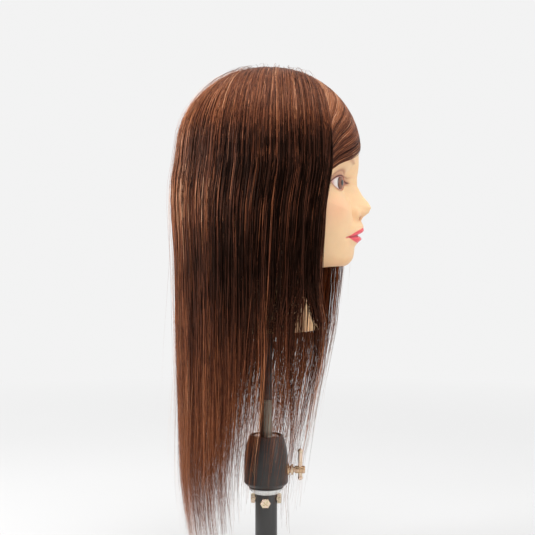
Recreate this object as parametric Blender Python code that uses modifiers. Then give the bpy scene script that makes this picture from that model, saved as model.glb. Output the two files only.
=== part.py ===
"""Mannequin training head: a hollow vinyl head with long straight hair, carried by a spindle on a
ball joint in a swivelling holder, on the upper tube of a stand.

Blender units are metres. +Z is up, the face looks along -Y and the head's right side is at -X. The
origin is the centre of the column tube's lower end. Round parts are profiles in millimetres, as
(radius, height), and the head and the hair are lofts over tables of rings, also in millimetres.
"""

import math

import bmesh
import bpy
from mathutils import Matrix, Vector

MM = 0.001
GAP = 0.3

# Column and swivel (mm)
TUBE_R = 12.0
TUBE_BORE_R = 10.2
TUBE_TOP = 85.4
PLUG_TOP = 14.0
CORE_BOTTOM = 62.0
CORE_TOP = 104.3
SPIGOT_R = 7.2
SPIGOT_BORE_R = 7.6
GROOVE_R = 6.1
GROOVE_LOW = 101.1
GROOVE_HIGH = 102.9
BOLT_R = 3.0
BOLT_HOLE_R = 3.3
BOLT_TIP = 5.0
BOLT_HEAD_H = 4.2
BOLT_ACROSS_FLATS = 10.0
BOLT_CHAMFER = 0.7
RECESS_BAR = (5.2, 1.1, 4.0)
BOLT_Z_SIDES = 77.5
BOLT_Z_FRONT_BACK = 80.2

# Barrel and ball (mm)
RING_LOW = 85.8
RING_HIGH = 92.0
CAP_LOW = 92.3
CAP_HIGH = 100.0
BARREL_LOW = 94.1
BARREL_TOP = 150.0
BARREL_R = 24.0
BARREL_BORE_R = 18.8
MOUTH_R = 16.2
BALL_R = 18.4
BALL_Z = 136.3
BALL_TOP = 149.5
CUP_LOW = 104.8
CUP_HIGH = 127.0
CUP_R = 18.4

# Clamp screw and tommy bar (mm), as distances in front of the barrel's axis
CLAMP_Z = 112.0
SCREW_R = 4.0
SCREW_BORE_R = 4.3
SCREW_TIP = 16.9
SCREW_NECK = (29.8, 31.2)
SCREW_HEAD_R = 4.1
SCREW_END = 42.4
BUSH_R = 6.0
BUSH = (19.5, 25.2)
WASHER = (27.3, 29.5)
PAD_R = 5.0
PAD = (14.1, 16.6)
BAR_AT = 37.1
BAR_R = 2.3
BAR_HOLE_R = 2.6
BAR_LOW = 104.6
BAR_HIGH = 131.0
BAR_END_R = 2.9

# Stem (mm)
STEM_R = 6.8
STEM_BORE_R = 5.5
STEM_LOW = 126.3
STEM_TOP = 189.0
SPINDLE_R = 6.6
SPINDLE_LOW_R = 5.2
SPINDLE_LOW = 151.0
SPINDLE_TOP = 331.0
SOCKET_BORE_R = 6.9
SOCKET_R = 10.5
SOCKET_TOP = 336.0
SOCKET_FLANGE_R = 18.0
FLANGE_LOW = 266.7
FLANGE_HIGH = 269.7
PLATE_LOW = 270.0
PLATE_HIGH = 274.0

# Head and hair (mm)
SKULL_CENTRE = (2.0, 455.0)
SKULL = (96.0, 92.0, 74.5, 83.5)
HAIR_CENTRE = (3.0, 455.0)
HAIR = (98.5, 100.0, 83.0, 92.0)
CROWN_LOW = 509.0
EYE_X = 23.1
EYE_AHEAD = 65.4
EYE_Z = 423.3
EYE_R = 17.5
EYE_BACK = 5.0
FOAM_SLACK = 1.1
CROWN_DEPTH = 5.4
SLIT_TURN = 0.004

# One ring of the head in each row, from the brow down to the base of the neck: the front, the widest
# place and the back, each as (reach, height), then the power that shapes the front half.
HEAD_RINGS = (
    (98.5, 455.0, 74.5, 455.0, -90.0, 455.0, 0.86),
    (98.5, 440.0, 73.5, 440.0, -91.0, 440.0, 0.86),
    (96.3, 425.0, 72.0, 426.0, -91.5, 426.0, 0.86),
    (95.3, 410.0, 70.0, 412.0, -91.0, 413.0, 0.86),
    (96.0, 395.0, 67.5, 399.0, -89.0, 401.0, 0.88),
    (97.5, 383.0, 65.0, 389.0, -85.0, 392.0, 0.93),
    (98.0, 372.0, 62.0, 380.0, -80.0, 384.0, 1.0),
    (96.5, 360.0, 59.5, 371.0, -74.0, 376.0, 1.1),
    (94.0, 348.0, 57.0, 361.0, -68.0, 366.0, 1.22),
    (91.5, 340.0, 54.5, 353.0, -62.5, 357.0, 1.3),
    (86.0, 334.6, 51.0, 346.0, -58.5, 349.0, 1.3),
    (78.0, 332.6, 49.0, 340.5, -55.5, 342.0, 1.2),
    (66.0, 330.5, 47.5, 335.0, -53.0, 335.0, 1.1),
    (56.0, 326.0, 46.0, 328.0, -51.0, 328.0, 1.0),
    (50.5, 316.0, 45.0, 318.0, -49.0, 318.0, 1.0),
    (47.5, 300.0, 45.0, 300.0, -47.0, 300.0, 1.0),
    (48.5, 284.0, 46.5, 284.0, -46.0, 284.0, 1.0),
    (53.5, 273.0, 50.0, 273.0, -46.5, 273.0, 1.0),
    (57.0, 267.0, 52.0, 267.0, -47.0, 267.0, 1.0),
)
CAVITY_RINGS = (
    (90.0, 455.0, 68.0, 455.0, -84.0, 455.0, 0.86),
    (87.0, 420.0, 66.0, 420.0, -85.0, 420.0, 0.86),
    (86.0, 395.0, 61.0, 395.0, -81.0, 395.0, 0.9),
    (82.0, 365.0, 53.0, 365.0, -62.0, 365.0, 1.1),
    (60.0, 345.0, 46.0, 345.0, -51.5, 345.0, 1.2),
    (46.0, 325.0, 41.0, 325.0, -45.0, 325.0, 1.0),
    (42.0, 300.0, 40.0, 300.0, -42.0, 300.0, 1.0),
    (43.0, 283.0, 41.0, 283.0, -41.0, 283.0, 1.0),
    (46.0, 272.0, 44.0, 272.0, -41.0, 272.0, 1.0),
    (47.0, 263.0, 45.0, 263.0, -41.5, 263.0, 1.0),
)
WIDEST = -8.0
CAVITY_SIDES = 22
CAVITY_DOME = (88.0, 86.0, 68.0, 76.5)
# How far the middle of the face stands in front of those rings, as (height, relief, half width).
FACE_RELIEF = (
    (455.0, 0.5, 30.0),
    (440.0, 0.5, 20.0),
    (428.0, 0.8, 9.0),
    (420.0, 1.8, 8.5),
    (410.0, 8.6, 10.0),
    (402.8, 14.0, 12.5),
    (396.4, 16.2, 15.5),
    (390.0, 11.4, 17.5),
    (386.0, 6.6, 17.0),
    (382.5, 4.6, 20.0),
    (377.0, 6.6, 24.0),
    (373.0, 6.5, 25.0),
    (368.0, 2.0, 25.0),
    (362.5, 3.4, 23.0),
    (356.5, 2.2, 20.0),
    (350.0, 0.4, 18.0),
    (343.0, 0.8, 18.0),
    (335.0, 0.0, 18.0),
)
# Hair outline below the brow, as (height, half width, back, thickness).
HAIR_RINGS = (
    (455.0, 83.0, -97.0, 4.0),
    (430.0, 85.0, -102.0, 7.5),
    (410.0, 86.0, -103.0, 8.5),
    (383.0, 86.0, -102.0, 9.0),
    (350.0, 84.0, -99.6, 11.0),
    (297.0, 80.0, -98.5, 12.0),
    (236.0, 76.0, -97.4, 12.0),
    (185.0, 73.0, -96.3, 11.0),
    (141.0, 71.0, -95.3, 10.0),
    (98.0, 69.0, -94.0, 8.0),
    (46.0, 66.0, -87.0, 6.0),
    (32.0, 64.0, -84.0, 5.0),
)
# Front edge of each side's hair, as (height, reach ahead of the axis).
RIGHT_EDGE = (
    (509.0, 73.0),
    (440.0, 73.0),
    (400.0, 64.5),
    (350.0, 59.5),
    (240.0, 60.0),
    (160.0, 54.0),
    (88.0, 42.0),
)
LEFT_EDGE = (
    (509.0, 73.0),
    (440.0, 77.0),
    (400.0, 79.0),
    (331.0, 80.0),
    (262.0, 75.0),
    (160.0, 59.0),
    (88.0, 42.0),
)
BACK_TIPS = 32.0
SIDE_TIPS = 88.0
BACK_FROM = math.radians(122.0)


def clear_scene():
    for obj in list(bpy.data.objects):
        bpy.data.objects.remove(obj, do_unlink=True)


def new_collection(name):
    made = bpy.data.collections.new(name)
    bpy.context.scene.collection.children.link(made)
    return made


def new_material(name, colour, roughness, metallic=0.0):
    made = bpy.data.materials.new(name)
    made.use_nodes = True
    made.diffuse_color = (*colour, 1.0)
    shader = made.node_tree.nodes["Principled BSDF"]
    shader.inputs["Base Color"].default_value = (*colour, 1.0)
    shader.inputs["Roughness"].default_value = roughness
    shader.inputs["Metallic"].default_value = metallic
    return made


clear_scene()
PARTS = new_collection("mannequin_training_head")
CUTTERS = new_collection("cutters")
VINYL = new_material("vinyl_skin", (0.87, 0.67, 0.48), 0.5)
FOAM = new_material("foam", (0.8, 0.74, 0.55), 0.9)
ACRYLIC = new_material("acrylic_eye", (0.85, 0.82, 0.8), 0.12)
HAIR_FIBRE = new_material("hair", (0.05, 0.02, 0.012), 0.4)
WHITE_PLASTIC = new_material("white_nylon", (0.75, 0.75, 0.73), 0.45)
BLACK_PLASTIC = new_material("black_plastic", (0.015, 0.015, 0.015), 0.35)
BLACK_STEEL = new_material("black_steel", (0.02, 0.02, 0.02), 0.4, 0.6)
PLATED_STEEL = new_material("plated_steel", (0.6, 0.6, 0.6), 0.2, 1.0)
OLIVE_STEEL = new_material("olive_steel", (0.3, 0.28, 0.22), 0.35, 1.0)
BRASS = new_material("brass", (0.72, 0.5, 0.3), 0.3, 1.0)
ZINC = new_material("zinc", (0.74, 0.66, 0.5), 0.3, 1.0)


def put(obj, material, cutter=False):
    """Files an object under the parts or the cutters, and shades its round sides smooth."""
    home = CUTTERS if cutter else PARTS
    for held in list(obj.users_collection):
        held.objects.unlink(obj)
    home.objects.link(obj)
    if cutter:
        obj.hide_render = True
        obj.display_type = "WIRE"
        return obj
    obj.data.materials.clear()
    obj.data.materials.append(material)
    obj.data.shade_smooth()
    obj.data.set_sharp_from_angle(angle=math.radians(35.0))
    return obj


def object_from_bmesh(name, shape, material, cutter=False):
    mesh = bpy.data.meshes.new(name)
    shape.to_mesh(mesh)
    shape.free()
    obj = bpy.data.objects.new(name, mesh)
    bpy.context.scene.collection.objects.link(obj)
    return put(obj, material, cutter)


def turned(name, profile, material, ring=False, steps=24, cutter=False):
    """A turned solid about Z. The profile starts on the axis and ends there, or closes as a ring."""
    shape = bmesh.new()
    points = [shape.verts.new((r * MM, 0.0, z * MM)) for r, z in profile]
    for first, second in zip(points, points[1:]):
        shape.edges.new((first, second))
    if ring:
        shape.edges.new((points[-1], points[0]))
    obj = object_from_bmesh(name, shape, material, cutter)
    screw = obj.modifiers.new("turn", "SCREW")
    screw.axis = "Z"
    screw.steps = steps
    screw.render_steps = steps
    screw.use_merge_vertices = True
    screw.merge_threshold = 0.00001
    screw.use_smooth_shade = True
    return obj


def arc(centre_z, radius, start_z, end_z, steps):
    """Points of a circle round (0, centre_z) from one height to another, as (radius, height)."""
    start = math.asin(max(-1.0, min(1.0, (start_z - centre_z) / radius)))
    end = math.asin(max(-1.0, min(1.0, (end_z - centre_z) / radius)))
    angles = [start + (end - start) * i / steps for i in range(steps + 1)]
    return [(radius * math.cos(a), centre_z + radius * math.sin(a)) for a in angles]


def rod_cutter(name, radius, start, end, sides=18):
    """A round cutter from one point to another, in millimetres."""
    low = Vector(start) * MM
    high = Vector(end) * MM
    shape = bmesh.new()
    bmesh.ops.create_cone(
        shape, cap_ends=True, segments=sides, radius1=radius * MM, radius2=radius * MM,
        depth=(high - low).length,
    )
    turn = (high - low).to_track_quat("Z", "Y").to_matrix().to_4x4()
    bmesh.ops.transform(shape, matrix=Matrix.Translation((low + high) / 2) @ turn, verts=shape.verts)
    return object_from_bmesh(name, shape, None, cutter=True)


def cut(obj, cutter):
    boolean = obj.modifiers.new(cutter.name, "BOOLEAN")
    boolean.operation = "DIFFERENCE"
    boolean.solver = "EXACT"
    boolean.object = cutter


def aim_forward(obj):
    """Lays a part turned about Z along -Y through the clamp's axis, its +Z end outwards."""
    obj.rotation_euler = (math.radians(90.0), 0.0, 0.0)
    obj.location = (0.0, 0.0, CLAMP_Z * MM)
    return obj


# Column and swivel


def column_tube():
    profile = [(TUBE_R, TUBE_TOP), (TUBE_R, 0.0), (TUBE_BORE_R, 0.0), (TUBE_BORE_R, TUBE_TOP)]
    tube = turned("column_tube", profile, BLACK_STEEL, ring=True)
    reach = TUBE_R + 4.0
    for label, way, z in (("x", (1, 0), BOLT_Z_SIDES), ("y", (0, 1), BOLT_Z_FRONT_BACK)):
        low = (-reach * way[0], -reach * way[1], z)
        high = (reach * way[0], reach * way[1], z)
        cut(tube, rod_cutter("tube_hole_" + label, BOLT_HOLE_R, low, high))


def column_end_plug():
    radius = TUBE_BORE_R - GAP
    profile = [(0, PLUG_TOP), (radius, PLUG_TOP), (radius, 0.0), (0, 0.0)]
    turned("column_end_plug", profile, BLACK_PLASTIC)


def swivel_core():
    body = TUBE_BORE_R - GAP
    profile = [
        (0, CORE_TOP), (SPIGOT_R - 0.6, CORE_TOP), (SPIGOT_R, CORE_TOP - 0.7),
        (SPIGOT_R, GROOVE_HIGH), (GROOVE_R, GROOVE_HIGH), (GROOVE_R, GROOVE_LOW),
        (SPIGOT_R, GROOVE_LOW), (SPIGOT_R, TUBE_TOP), (body, TUBE_TOP), (body, CORE_BOTTOM + 1.0),
        (body - 1.0, CORE_BOTTOM), (0, CORE_BOTTOM),
    ]
    core = turned("swivel_core", profile, PLATED_STEEL)
    bottom = BOLT_TIP - GAP
    for label, way, z in BOLTS:
        low = (bottom * way[0], bottom * way[1], z)
        high = ((TUBE_R + 4.0) * way[0], (TUBE_R + 4.0) * way[1], z)
        cut(core, rod_cutter("core_hole_" + label, BOLT_HOLE_R, low, high))


BOLTS = (
    ("right", (-1, 0), BOLT_Z_SIDES),
    ("left", (1, 0), BOLT_Z_SIDES),
    ("front", (0, -1), BOLT_Z_FRONT_BACK),
    ("back", (0, 1), BOLT_Z_FRONT_BACK),
)


def bolt_mesh():
    """A hexagon bolt along +Z with a cross recess, its seat at the tube's wall."""
    seat = TUBE_R + GAP
    shape = bmesh.new()
    radius = BOLT_ACROSS_FLATS / math.sqrt(3.0) * MM
    bmesh.ops.create_cone(
        shape, cap_ends=True, segments=6, radius1=radius, radius2=radius, depth=BOLT_HEAD_H * MM,
        matrix=Matrix.Translation((0, 0, (seat + BOLT_HEAD_H / 2) * MM)),
    )
    top = [e for e in shape.edges if all(v.co.z > (seat + BOLT_HEAD_H / 2) * MM for v in e.verts)]
    bmesh.ops.bevel(shape, geom=top, offset=BOLT_CHAMFER * MM, segments=1, affect="EDGES")
    head = object_from_bmesh("bolt_pattern_head", shape, ZINC, cutter=True)
    shank = [(0, seat + 1.0), (BOLT_R, seat + 1.0), (BOLT_R, BOLT_TIP + BOLT_CHAMFER)]
    shank += [(BOLT_R - BOLT_CHAMFER, BOLT_TIP), (0, BOLT_TIP)]
    shank_object = turned("bolt_pattern_shank", shank, ZINC, steps=24, cutter=True)
    union = head.modifiers.new("shank", "BOOLEAN")
    union.operation = "UNION"
    union.object = shank_object
    to_top = Matrix.Translation((0, 0, (seat + BOLT_HEAD_H) * MM))
    for turn in (45.0, 135.0):
        bar = bmesh.new()
        bmesh.ops.create_cube(bar, size=1.0)
        bmesh.ops.scale(bar, vec=[size * MM for size in RECESS_BAR], verts=bar.verts)
        turned_bar = to_top @ Matrix.Rotation(math.radians(turn), 4, "Z")
        bmesh.ops.transform(bar, matrix=turned_bar, verts=bar.verts)
        cut(head, object_from_bmesh("bolt_recess_%d" % turn, bar, None, cutter=True))
    bpy.context.view_layer.update()
    graph = bpy.context.evaluated_depsgraph_get()
    mesh = bpy.data.meshes.new_from_object(head.evaluated_get(graph))
    mesh.name = "bolt"
    return mesh


def bolts():
    mesh = bolt_mesh()
    for label, way, z in BOLTS:
        bolt = bpy.data.objects.new("bolt_" + label, mesh)
        bpy.context.scene.collection.objects.link(bolt)
        bolt.rotation_mode = "QUATERNION"
        outward = Vector((way[0], way[1], 0))
        side = Vector((0, 0, 1)).cross(outward)
        frame = Matrix((Vector((0, 0, 1)), side, outward)).transposed()
        bolt.rotation_quaternion = frame.to_quaternion()
        bolt.location = (0, 0, z * MM)
        put(bolt, ZINC)


def thrust_ring():
    profile = [
        (18.2, RING_HIGH), (18.7, RING_HIGH - 0.5), (18.7, 90.6), (13.3, RING_LOW),
        (SPIGOT_BORE_R, RING_LOW), (SPIGOT_BORE_R, RING_HIGH),
    ]
    turned("thrust_ring", profile, WHITE_PLASTIC, ring=True)


def retaining_ring():
    low = GROOVE_LOW + GAP
    high = GROOVE_HIGH - GAP
    inner = GROOVE_R + GAP
    profile = [(10.4, high), (10.4, low), (inner, low), (inner, high)]
    ring = turned("retaining_ring", profile, PLATED_STEEL, ring=True, steps=32)
    gap = bmesh.new()
    bmesh.ops.create_cube(gap, size=1.0)
    bmesh.ops.scale(gap, vec=(3.5 * MM, 8.0 * MM, 4.0 * MM), verts=gap.verts)
    bmesh.ops.translate(gap, vec=(0, 9.0 * MM, (low + high) / 2 * MM), verts=gap.verts)
    cut(ring, object_from_bmesh("retaining_ring_gap", gap, None, cutter=True))


def swivel_washer():
    low = CAP_HIGH + GAP
    high = GROOVE_LOW - 0.1
    profile = [(14.0, high), (14.0, low), (SPIGOT_BORE_R, low), (SPIGOT_BORE_R, high)]
    turned("swivel_washer", profile, BRASS, ring=True, steps=32)


# Barrel, ball seat and clamp


def barrel():
    profile = [(MOUTH_R, BARREL_TOP), (17.4, BARREL_TOP), (18.0, BARREL_TOP - 0.6), (19.9, 145.0)]
    profile += [(21.9, 138.6), (23.3, 129.8), (BARREL_R, 118.0), (BARREL_R, 98.6), (23.6, 97.6)]
    profile += [(20.0, BARREL_LOW), (BARREL_BORE_R, BARREL_LOW)]
    profile += [(r, z) for r, z in arc(BALL_Z, BARREL_BORE_R, BALL_Z, 145.5, 4)]
    made = turned("barrel", profile, BLACK_PLASTIC, ring=True, steps=32)
    cut(made, rod_cutter("bush_hole", BUSH_R + GAP, (0, -14.0, CLAMP_Z), (0, -32.0, CLAMP_Z), 24))


def base_cap():
    plug = BARREL_BORE_R - 0.4
    profile = [
        (plug, CAP_HIGH), (plug, 93.8), (19.0, 93.8), (19.0, 92.8), (18.5, CAP_LOW),
        (SPIGOT_BORE_R, CAP_LOW), (SPIGOT_BORE_R, CAP_HIGH),
    ]
    turned("base_cap", profile, BLACK_PLASTIC, ring=True)


def ball_cup():
    seat = arc(BALL_Z, BARREL_BORE_R, BALL_Z - BARREL_BORE_R, CUP_HIGH, 6)
    profile = [(0, seat[0][1])] + seat[1:] + [(CUP_R, CUP_HIGH), (CUP_R, CUP_LOW), (0, CUP_LOW)]
    cup = turned("ball_cup", profile, WHITE_PLASTIC)
    depth = PAD[0] - GAP
    cut(cup, rod_cutter("pad_pocket", PAD_R + GAP, (0, -depth, CLAMP_Z), (0, -30.0, CLAMP_Z)))


def thread_bush():
    low, high = BUSH
    profile = [(BUSH_R, high), (BUSH_R, low), (SCREW_BORE_R, low), (SCREW_BORE_R, high)]
    aim_forward(turned("thread_bush", profile, BRASS, ring=True, steps=32))


def pressure_pad():
    low, high = PAD
    profile = [(0, high), (PAD_R - 0.5, high), (PAD_R, high - 0.5), (PAD_R, low), (0, low)]
    aim_forward(turned("pressure_pad", profile, BRASS, steps=28))


def clamp_screw():
    neck_low, neck_high = SCREW_NECK
    profile = [
        (0, SCREW_END), (SCREW_HEAD_R - 0.8, SCREW_END), (SCREW_HEAD_R, SCREW_END - 0.8),
        (SCREW_HEAD_R, neck_high), (2.9, neck_high), (2.9, neck_low), (SCREW_R, neck_low),
        (SCREW_R, SCREW_TIP + 0.8), (SCREW_R - 0.8, SCREW_TIP), (0, SCREW_TIP),
    ]
    screw = aim_forward(turned("clamp_screw", profile, BRASS, steps=24))
    reach = SCREW_HEAD_R + 3.0
    low = (0, -BAR_AT, CLAMP_Z - reach)
    high = (0, -BAR_AT, CLAMP_Z + reach)
    cut(screw, rod_cutter("bar_hole", BAR_HOLE_R, low, high, 24))


def screw_washer():
    low, high = WASHER
    profile = [(5.6, high), (6.0, high - 0.4), (6.0, low), (SCREW_BORE_R, low), (SCREW_BORE_R, high)]
    aim_forward(turned("screw_washer", profile, ZINC, ring=True, steps=28))


def tommy_bar():
    tenon = 1.2
    long = 2.0
    profile = [
        (0, BAR_HIGH + long), (tenon, BAR_HIGH + long), (tenon, BAR_HIGH), (BAR_R, BAR_HIGH),
        (BAR_R, BAR_LOW), (tenon, BAR_LOW), (tenon, BAR_LOW - long), (0, BAR_LOW - long),
    ]
    turned("tommy_bar", profile, ZINC, steps=24).location = (0, -BAR_AT * MM, 0)
    bore = tenon + GAP
    flat = math.sqrt(BAR_END_R**2 - (BAR_R + 0.35) ** 2)
    for label, seat, side in (("upper", BAR_HIGH + GAP, 1), ("lower", BAR_LOW - GAP, -1)):
        ball = arc(0.0, BAR_END_R, BAR_END_R, -flat, 5)
        outline = [(0.0, BAR_END_R)] + ball[1:] + [(bore, -flat), (bore, long - flat), (0.0, long - flat)]
        end = turned("bar_end_" + label, outline, ZINC, steps=14)
        end.location = (0, -BAR_AT * MM, (seat + side * flat) * MM)
        if side < 0:
            end.rotation_euler = (math.pi, 0.0, 0.0)


def ball():
    bore = STEM_R + GAP
    outline = [(0, STEM_LOW - GAP), (bore, STEM_LOW - GAP), (bore, BALL_TOP)]
    outline += arc(BALL_Z, BALL_R, BALL_TOP, BALL_Z - BALL_R, 9)[:-1] + [(0, BALL_Z - BALL_R)]
    turned("ball", outline, PLATED_STEEL, steps=28)


def stem_tube():
    profile = [
        (STEM_R, STEM_TOP), (STEM_R + 0.3, STEM_TOP - 0.5), (STEM_R + 0.3, STEM_TOP - 2.5),
        (STEM_R, STEM_TOP - 3.0), (STEM_R, STEM_LOW), (STEM_BORE_R, STEM_LOW), (STEM_BORE_R, STEM_TOP),
    ]
    turned("stem_tube", profile, OLIVE_STEEL, ring=True)


def stem_spindle():
    profile = [
        (0, SPINDLE_TOP), (4.2, SPINDLE_TOP - 0.4), (6.0, SPINDLE_TOP - 2.0), (SPINDLE_R, SPINDLE_TOP - 5.0),
        (SPINDLE_R, STEM_TOP + GAP), (SPINDLE_LOW_R, STEM_TOP + GAP), (SPINDLE_LOW_R, SPINDLE_LOW),
        (0, SPINDLE_LOW),
    ]
    turned("stem_spindle", profile, BLACK_PLASTIC, steps=32)


# Head


def smooth(table, at):
    """A row of the table at a place between rows, through a Catmull-Rom curve."""
    last = len(table) - 1
    i = max(0, min(last - 1, int(at)))
    f = at - i
    rows = [table[max(0, min(last, i + k))] for k in (-1, 0, 1, 2)]
    found = []
    for a, b, c, d in zip(*rows):
        found.append(b + 0.5 * f * (c - a + f * (2 * a - 5 * b + 4 * c - d + f * (3 * (b - c) + d - a))))
    return found


def read_at(table, z):
    """The values of a table whose first column falls, read straight between its rows."""
    if z >= table[0][0]:
        return table[0][1:]
    for upper, lower in zip(table, table[1:]):
        if z >= lower[0]:
            f = (upper[0] - z) / (upper[0] - lower[0])
            return tuple(a + (b - a) * f for a, b in zip(upper[1:], lower[1:]))
    return table[-1][1:]


def face_relief(x, z):
    """How far the face's features stand in front of the plain rings at this place."""
    height, wide = read_at(FACE_RELIEF, z)
    near = max(0.0, 1.0 - (abs(x) / wide) ** 2)
    lift = height * near**1.5
    lift -= 7.0 * math.exp(-((abs(x) - 30.0) / 15.0) ** 2 - ((z - 424.0) / 10.5) ** 2)
    lift += 3.0 * math.exp(-((abs(x) - 42.0) / 15.0) ** 2 - ((z - 399.0) / 14.0) ** 2)
    return lift + 3.0 * math.exp(-((abs(x) - 12.5) / 4.0) ** 2 - ((z - 389.5) / 5.0) ** 2)


def ring_point(ring, turn, widest):
    """A point of a tilted ring: turn is 0 at the front and pi at the back."""
    front, front_z, wide, side_z, back, back_z, power = ring
    c = math.cos(turn)
    x = wide * math.sin(turn)
    if c > 0:
        ahead = widest + (front - widest) * c**power
        z = side_z + (front_z - side_z) * c * c
    else:
        ahead = widest - (back - widest) * c
        z = side_z + (back_z - side_z) * c * c
    return x, ahead, z


def dome_ring(centre, axes, climb, power):
    """The ring of an ellipsoid at this angle above its centre. axes: front, back, side, up."""
    ahead, z = centre
    level = z + axes[3] * math.sin(climb)
    c = math.cos(climb)
    return (ahead + axes[0] * c, level, axes[2] * c, level, ahead - axes[1] * c, level, power)


def loft(rows, closed=True):
    """A closed skin over rows of points, which are loops, with caps at both ends."""
    shape = bmesh.new()
    rings = [[shape.verts.new((x * MM, -ahead * MM, z * MM)) for x, ahead, z in row] for row in rows]
    for upper, lower in zip(rings, rings[1:]):
        count = len(upper)
        for i in range(count):
            j = (i + 1) % count
            shape.faces.new((upper[i], lower[i], lower[j], upper[j]))
    shape.faces.new(list(reversed(rings[-1])))
    if closed:
        shape.faces.new(rings[0])
    bmesh.ops.recalc_face_normals(shape, faces=shape.faces)
    return shape


def head_turns(count):
    """Angles round the head, closest together over the face."""
    spots = [2.0 * i / count - 1.0 for i in range(count)]
    return [math.pi * (0.42 * u + 0.58 * u**3) for u in spots]


def head_rows(rings, axes, domes, step, count, relief):
    """Rows of points from just under the top of the head down to the last ring."""
    turns = head_turns(count)
    rows = []
    for i in range(domes):
        climb = math.radians(84.0) * (1.0 - i / domes)
        ring = dome_ring(SKULL_CENTRE, axes, climb, 0.86 + 0.14 * (climb / math.radians(84.0)))
        blend = 1.0 - math.cos(climb)
        widest = WIDEST + (SKULL_CENTRE[0] - WIDEST) * blend
        rows.append([ring_point(ring, turn, widest) for turn in turns])
    places = int(round((len(rings) - 1) / step))
    for i in range(places + 1):
        ring = smooth(rings, (len(rings) - 1) * i / places)
        row = []
        for turn in turns:
            x, ahead, z = ring_point(ring, turn, WIDEST)
            if relief and math.cos(turn) > 0 and z > 334.0:
                ahead += face_relief(x, z) * math.cos(turn) ** 0.5
            row.append((x, ahead, z))
        rows.append(row)
    return rows


def eye_shape(name, swell, material, side, cutter=False):
    """A half-round eye, flat at the back, looking forward."""
    radius = EYE_R + swell
    back = EYE_BACK - swell
    outline = arc(0.0, radius, radius, back, 5)
    profile = [(0.0, radius)] + outline[1:] + [(0.0, back)]
    obj = turned(name, profile, material, steps=22, cutter=cutter)
    obj.rotation_euler = (math.radians(90.0), 0.0, 0.0)
    obj.location = (side * EYE_X * MM, -EYE_AHEAD * MM, EYE_Z * MM)
    return obj


def head():
    shell_rows = head_rows(HEAD_RINGS, SKULL, 6, 0.72, 36, True)
    shell = object_from_bmesh("head_shell", loft(shell_rows), VINYL)
    hollow = head_rows(CAVITY_RINGS, CAVITY_DOME, 4, 1.3, CAVITY_SIDES, False)
    cut(shell, object_from_bmesh("head_cavity", loft(hollow), None, cutter=True))
    core_rings = [
        (front - FOAM_SLACK, front_z, wide - FOAM_SLACK, side_z, back + FOAM_SLACK, back_z, power)
        for front, front_z, wide, side_z, back, back_z, power in CAVITY_RINGS
    ]
    core_axes = tuple(reach - FOAM_SLACK for reach in CAVITY_DOME)
    core_rows = head_rows(core_rings, core_axes, 4, 1.3, CAVITY_SIDES, False)
    core = object_from_bmesh("foam_core", loft(core_rows), FOAM)
    below = bmesh.new()
    bmesh.ops.create_cube(below, size=0.2)
    bmesh.ops.translate(below, vec=(0, 0, (PLATE_HIGH + GAP) * MM - 0.1), verts=below.verts)
    cut(core, object_from_bmesh("foam_foot", below, None, cutter=True))
    well = rod_cutter("foam_well", SOCKET_R + 0.4, (0, 0, 250.0), (0, 0, SOCKET_TOP + 0.4), 24)
    cut(core, well)
    for label, side in (("right", -1), ("left", 1)):
        pocket = eye_shape("eye_pocket_" + label, 0.4, None, side, cutter=True)
        cut(shell, pocket)
        cut(core, pocket)
        eye_shape("eye_insert_" + label, 0.0, ACRYLIC, side)


def neck_base_plate():
    """A flat plate that fills the neck's opening, on the foot of the socket."""
    inset = 1.3
    front, _, wide, _, back, _, power = CAVITY_RINGS[-2]
    ring = (front - 1.5 - inset, 0.0, wide - 1.5 - inset, 0.0, back + inset, 0.0, power)
    turns = head_turns(CAVITY_SIDES)
    rows = []
    for z in (PLATE_HIGH, PLATE_LOW):
        rows.append([(x, ahead, z) for x, ahead, _ in (ring_point(ring, t, WIDEST) for t in turns)])
    plate = object_from_bmesh("neck_base_plate", loft(rows), WHITE_PLASTIC)
    cut(plate, rod_cutter("plate_hole", SOCKET_R + GAP, (0, 0, 260.0), (0, 0, 290.0), 24))


def neck_socket():
    profile = [
        (0, SOCKET_TOP), (SOCKET_R - 1.0, SOCKET_TOP), (SOCKET_R, SOCKET_TOP - 1.0), (SOCKET_R, FLANGE_HIGH),
        (SOCKET_FLANGE_R, FLANGE_HIGH), (SOCKET_FLANGE_R, FLANGE_LOW), (SOCKET_BORE_R, FLANGE_LOW),
        (SOCKET_BORE_R, SPINDLE_TOP + GAP), (0, SPINDLE_TOP + GAP),
    ]
    turned("neck_socket", profile, WHITE_PLASTIC, steps=32)


# Hair


def hair_point(turn, z, depth):
    """A point of the hair at this height, depth millimetres in from its outer face."""
    centre = HAIR_CENTRE[0]
    if z >= HAIR_CENTRE[1]:
        level = math.sqrt(max(0.0, 1.0 - ((z - HAIR_CENTRE[1]) / (HAIR[3] - depth)) ** 2))
        front, back, wide = HAIR[0] - depth, HAIR[1] - depth, HAIR[2] - depth
        front, back, wide = front * level, back * level, wide * level
    else:
        wide, reach, _ = read_at(HAIR_RINGS, z)
        front, back, wide = HAIR[0] - depth, centre - reach - depth, wide - depth
    c = math.cos(turn)
    ahead = centre + (front if c > 0 else back) * c
    return wide * math.sin(turn), ahead, z


def hair_depth(z):
    return read_at(HAIR_RINGS, z)[2]


def hair_panel(name, heights, first_turn, last_turn, columns, depth_at=hair_depth):
    """A slab of hair between two turns round the head, each a function of the height."""
    rows = []
    for z in heights:
        low, high = first_turn(z), last_turn(z)
        turns = [low + (high - low) * i / columns for i in range(columns + 1)]
        outer = [hair_point(turn, z, 0.0) for turn in turns]
        inner = [hair_point(turn, z, depth_at(z)) for turn in turns]
        rows.append(outer + inner[::-1])
    return object_from_bmesh(name, loft(rows), HAIR_FIBRE)


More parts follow.
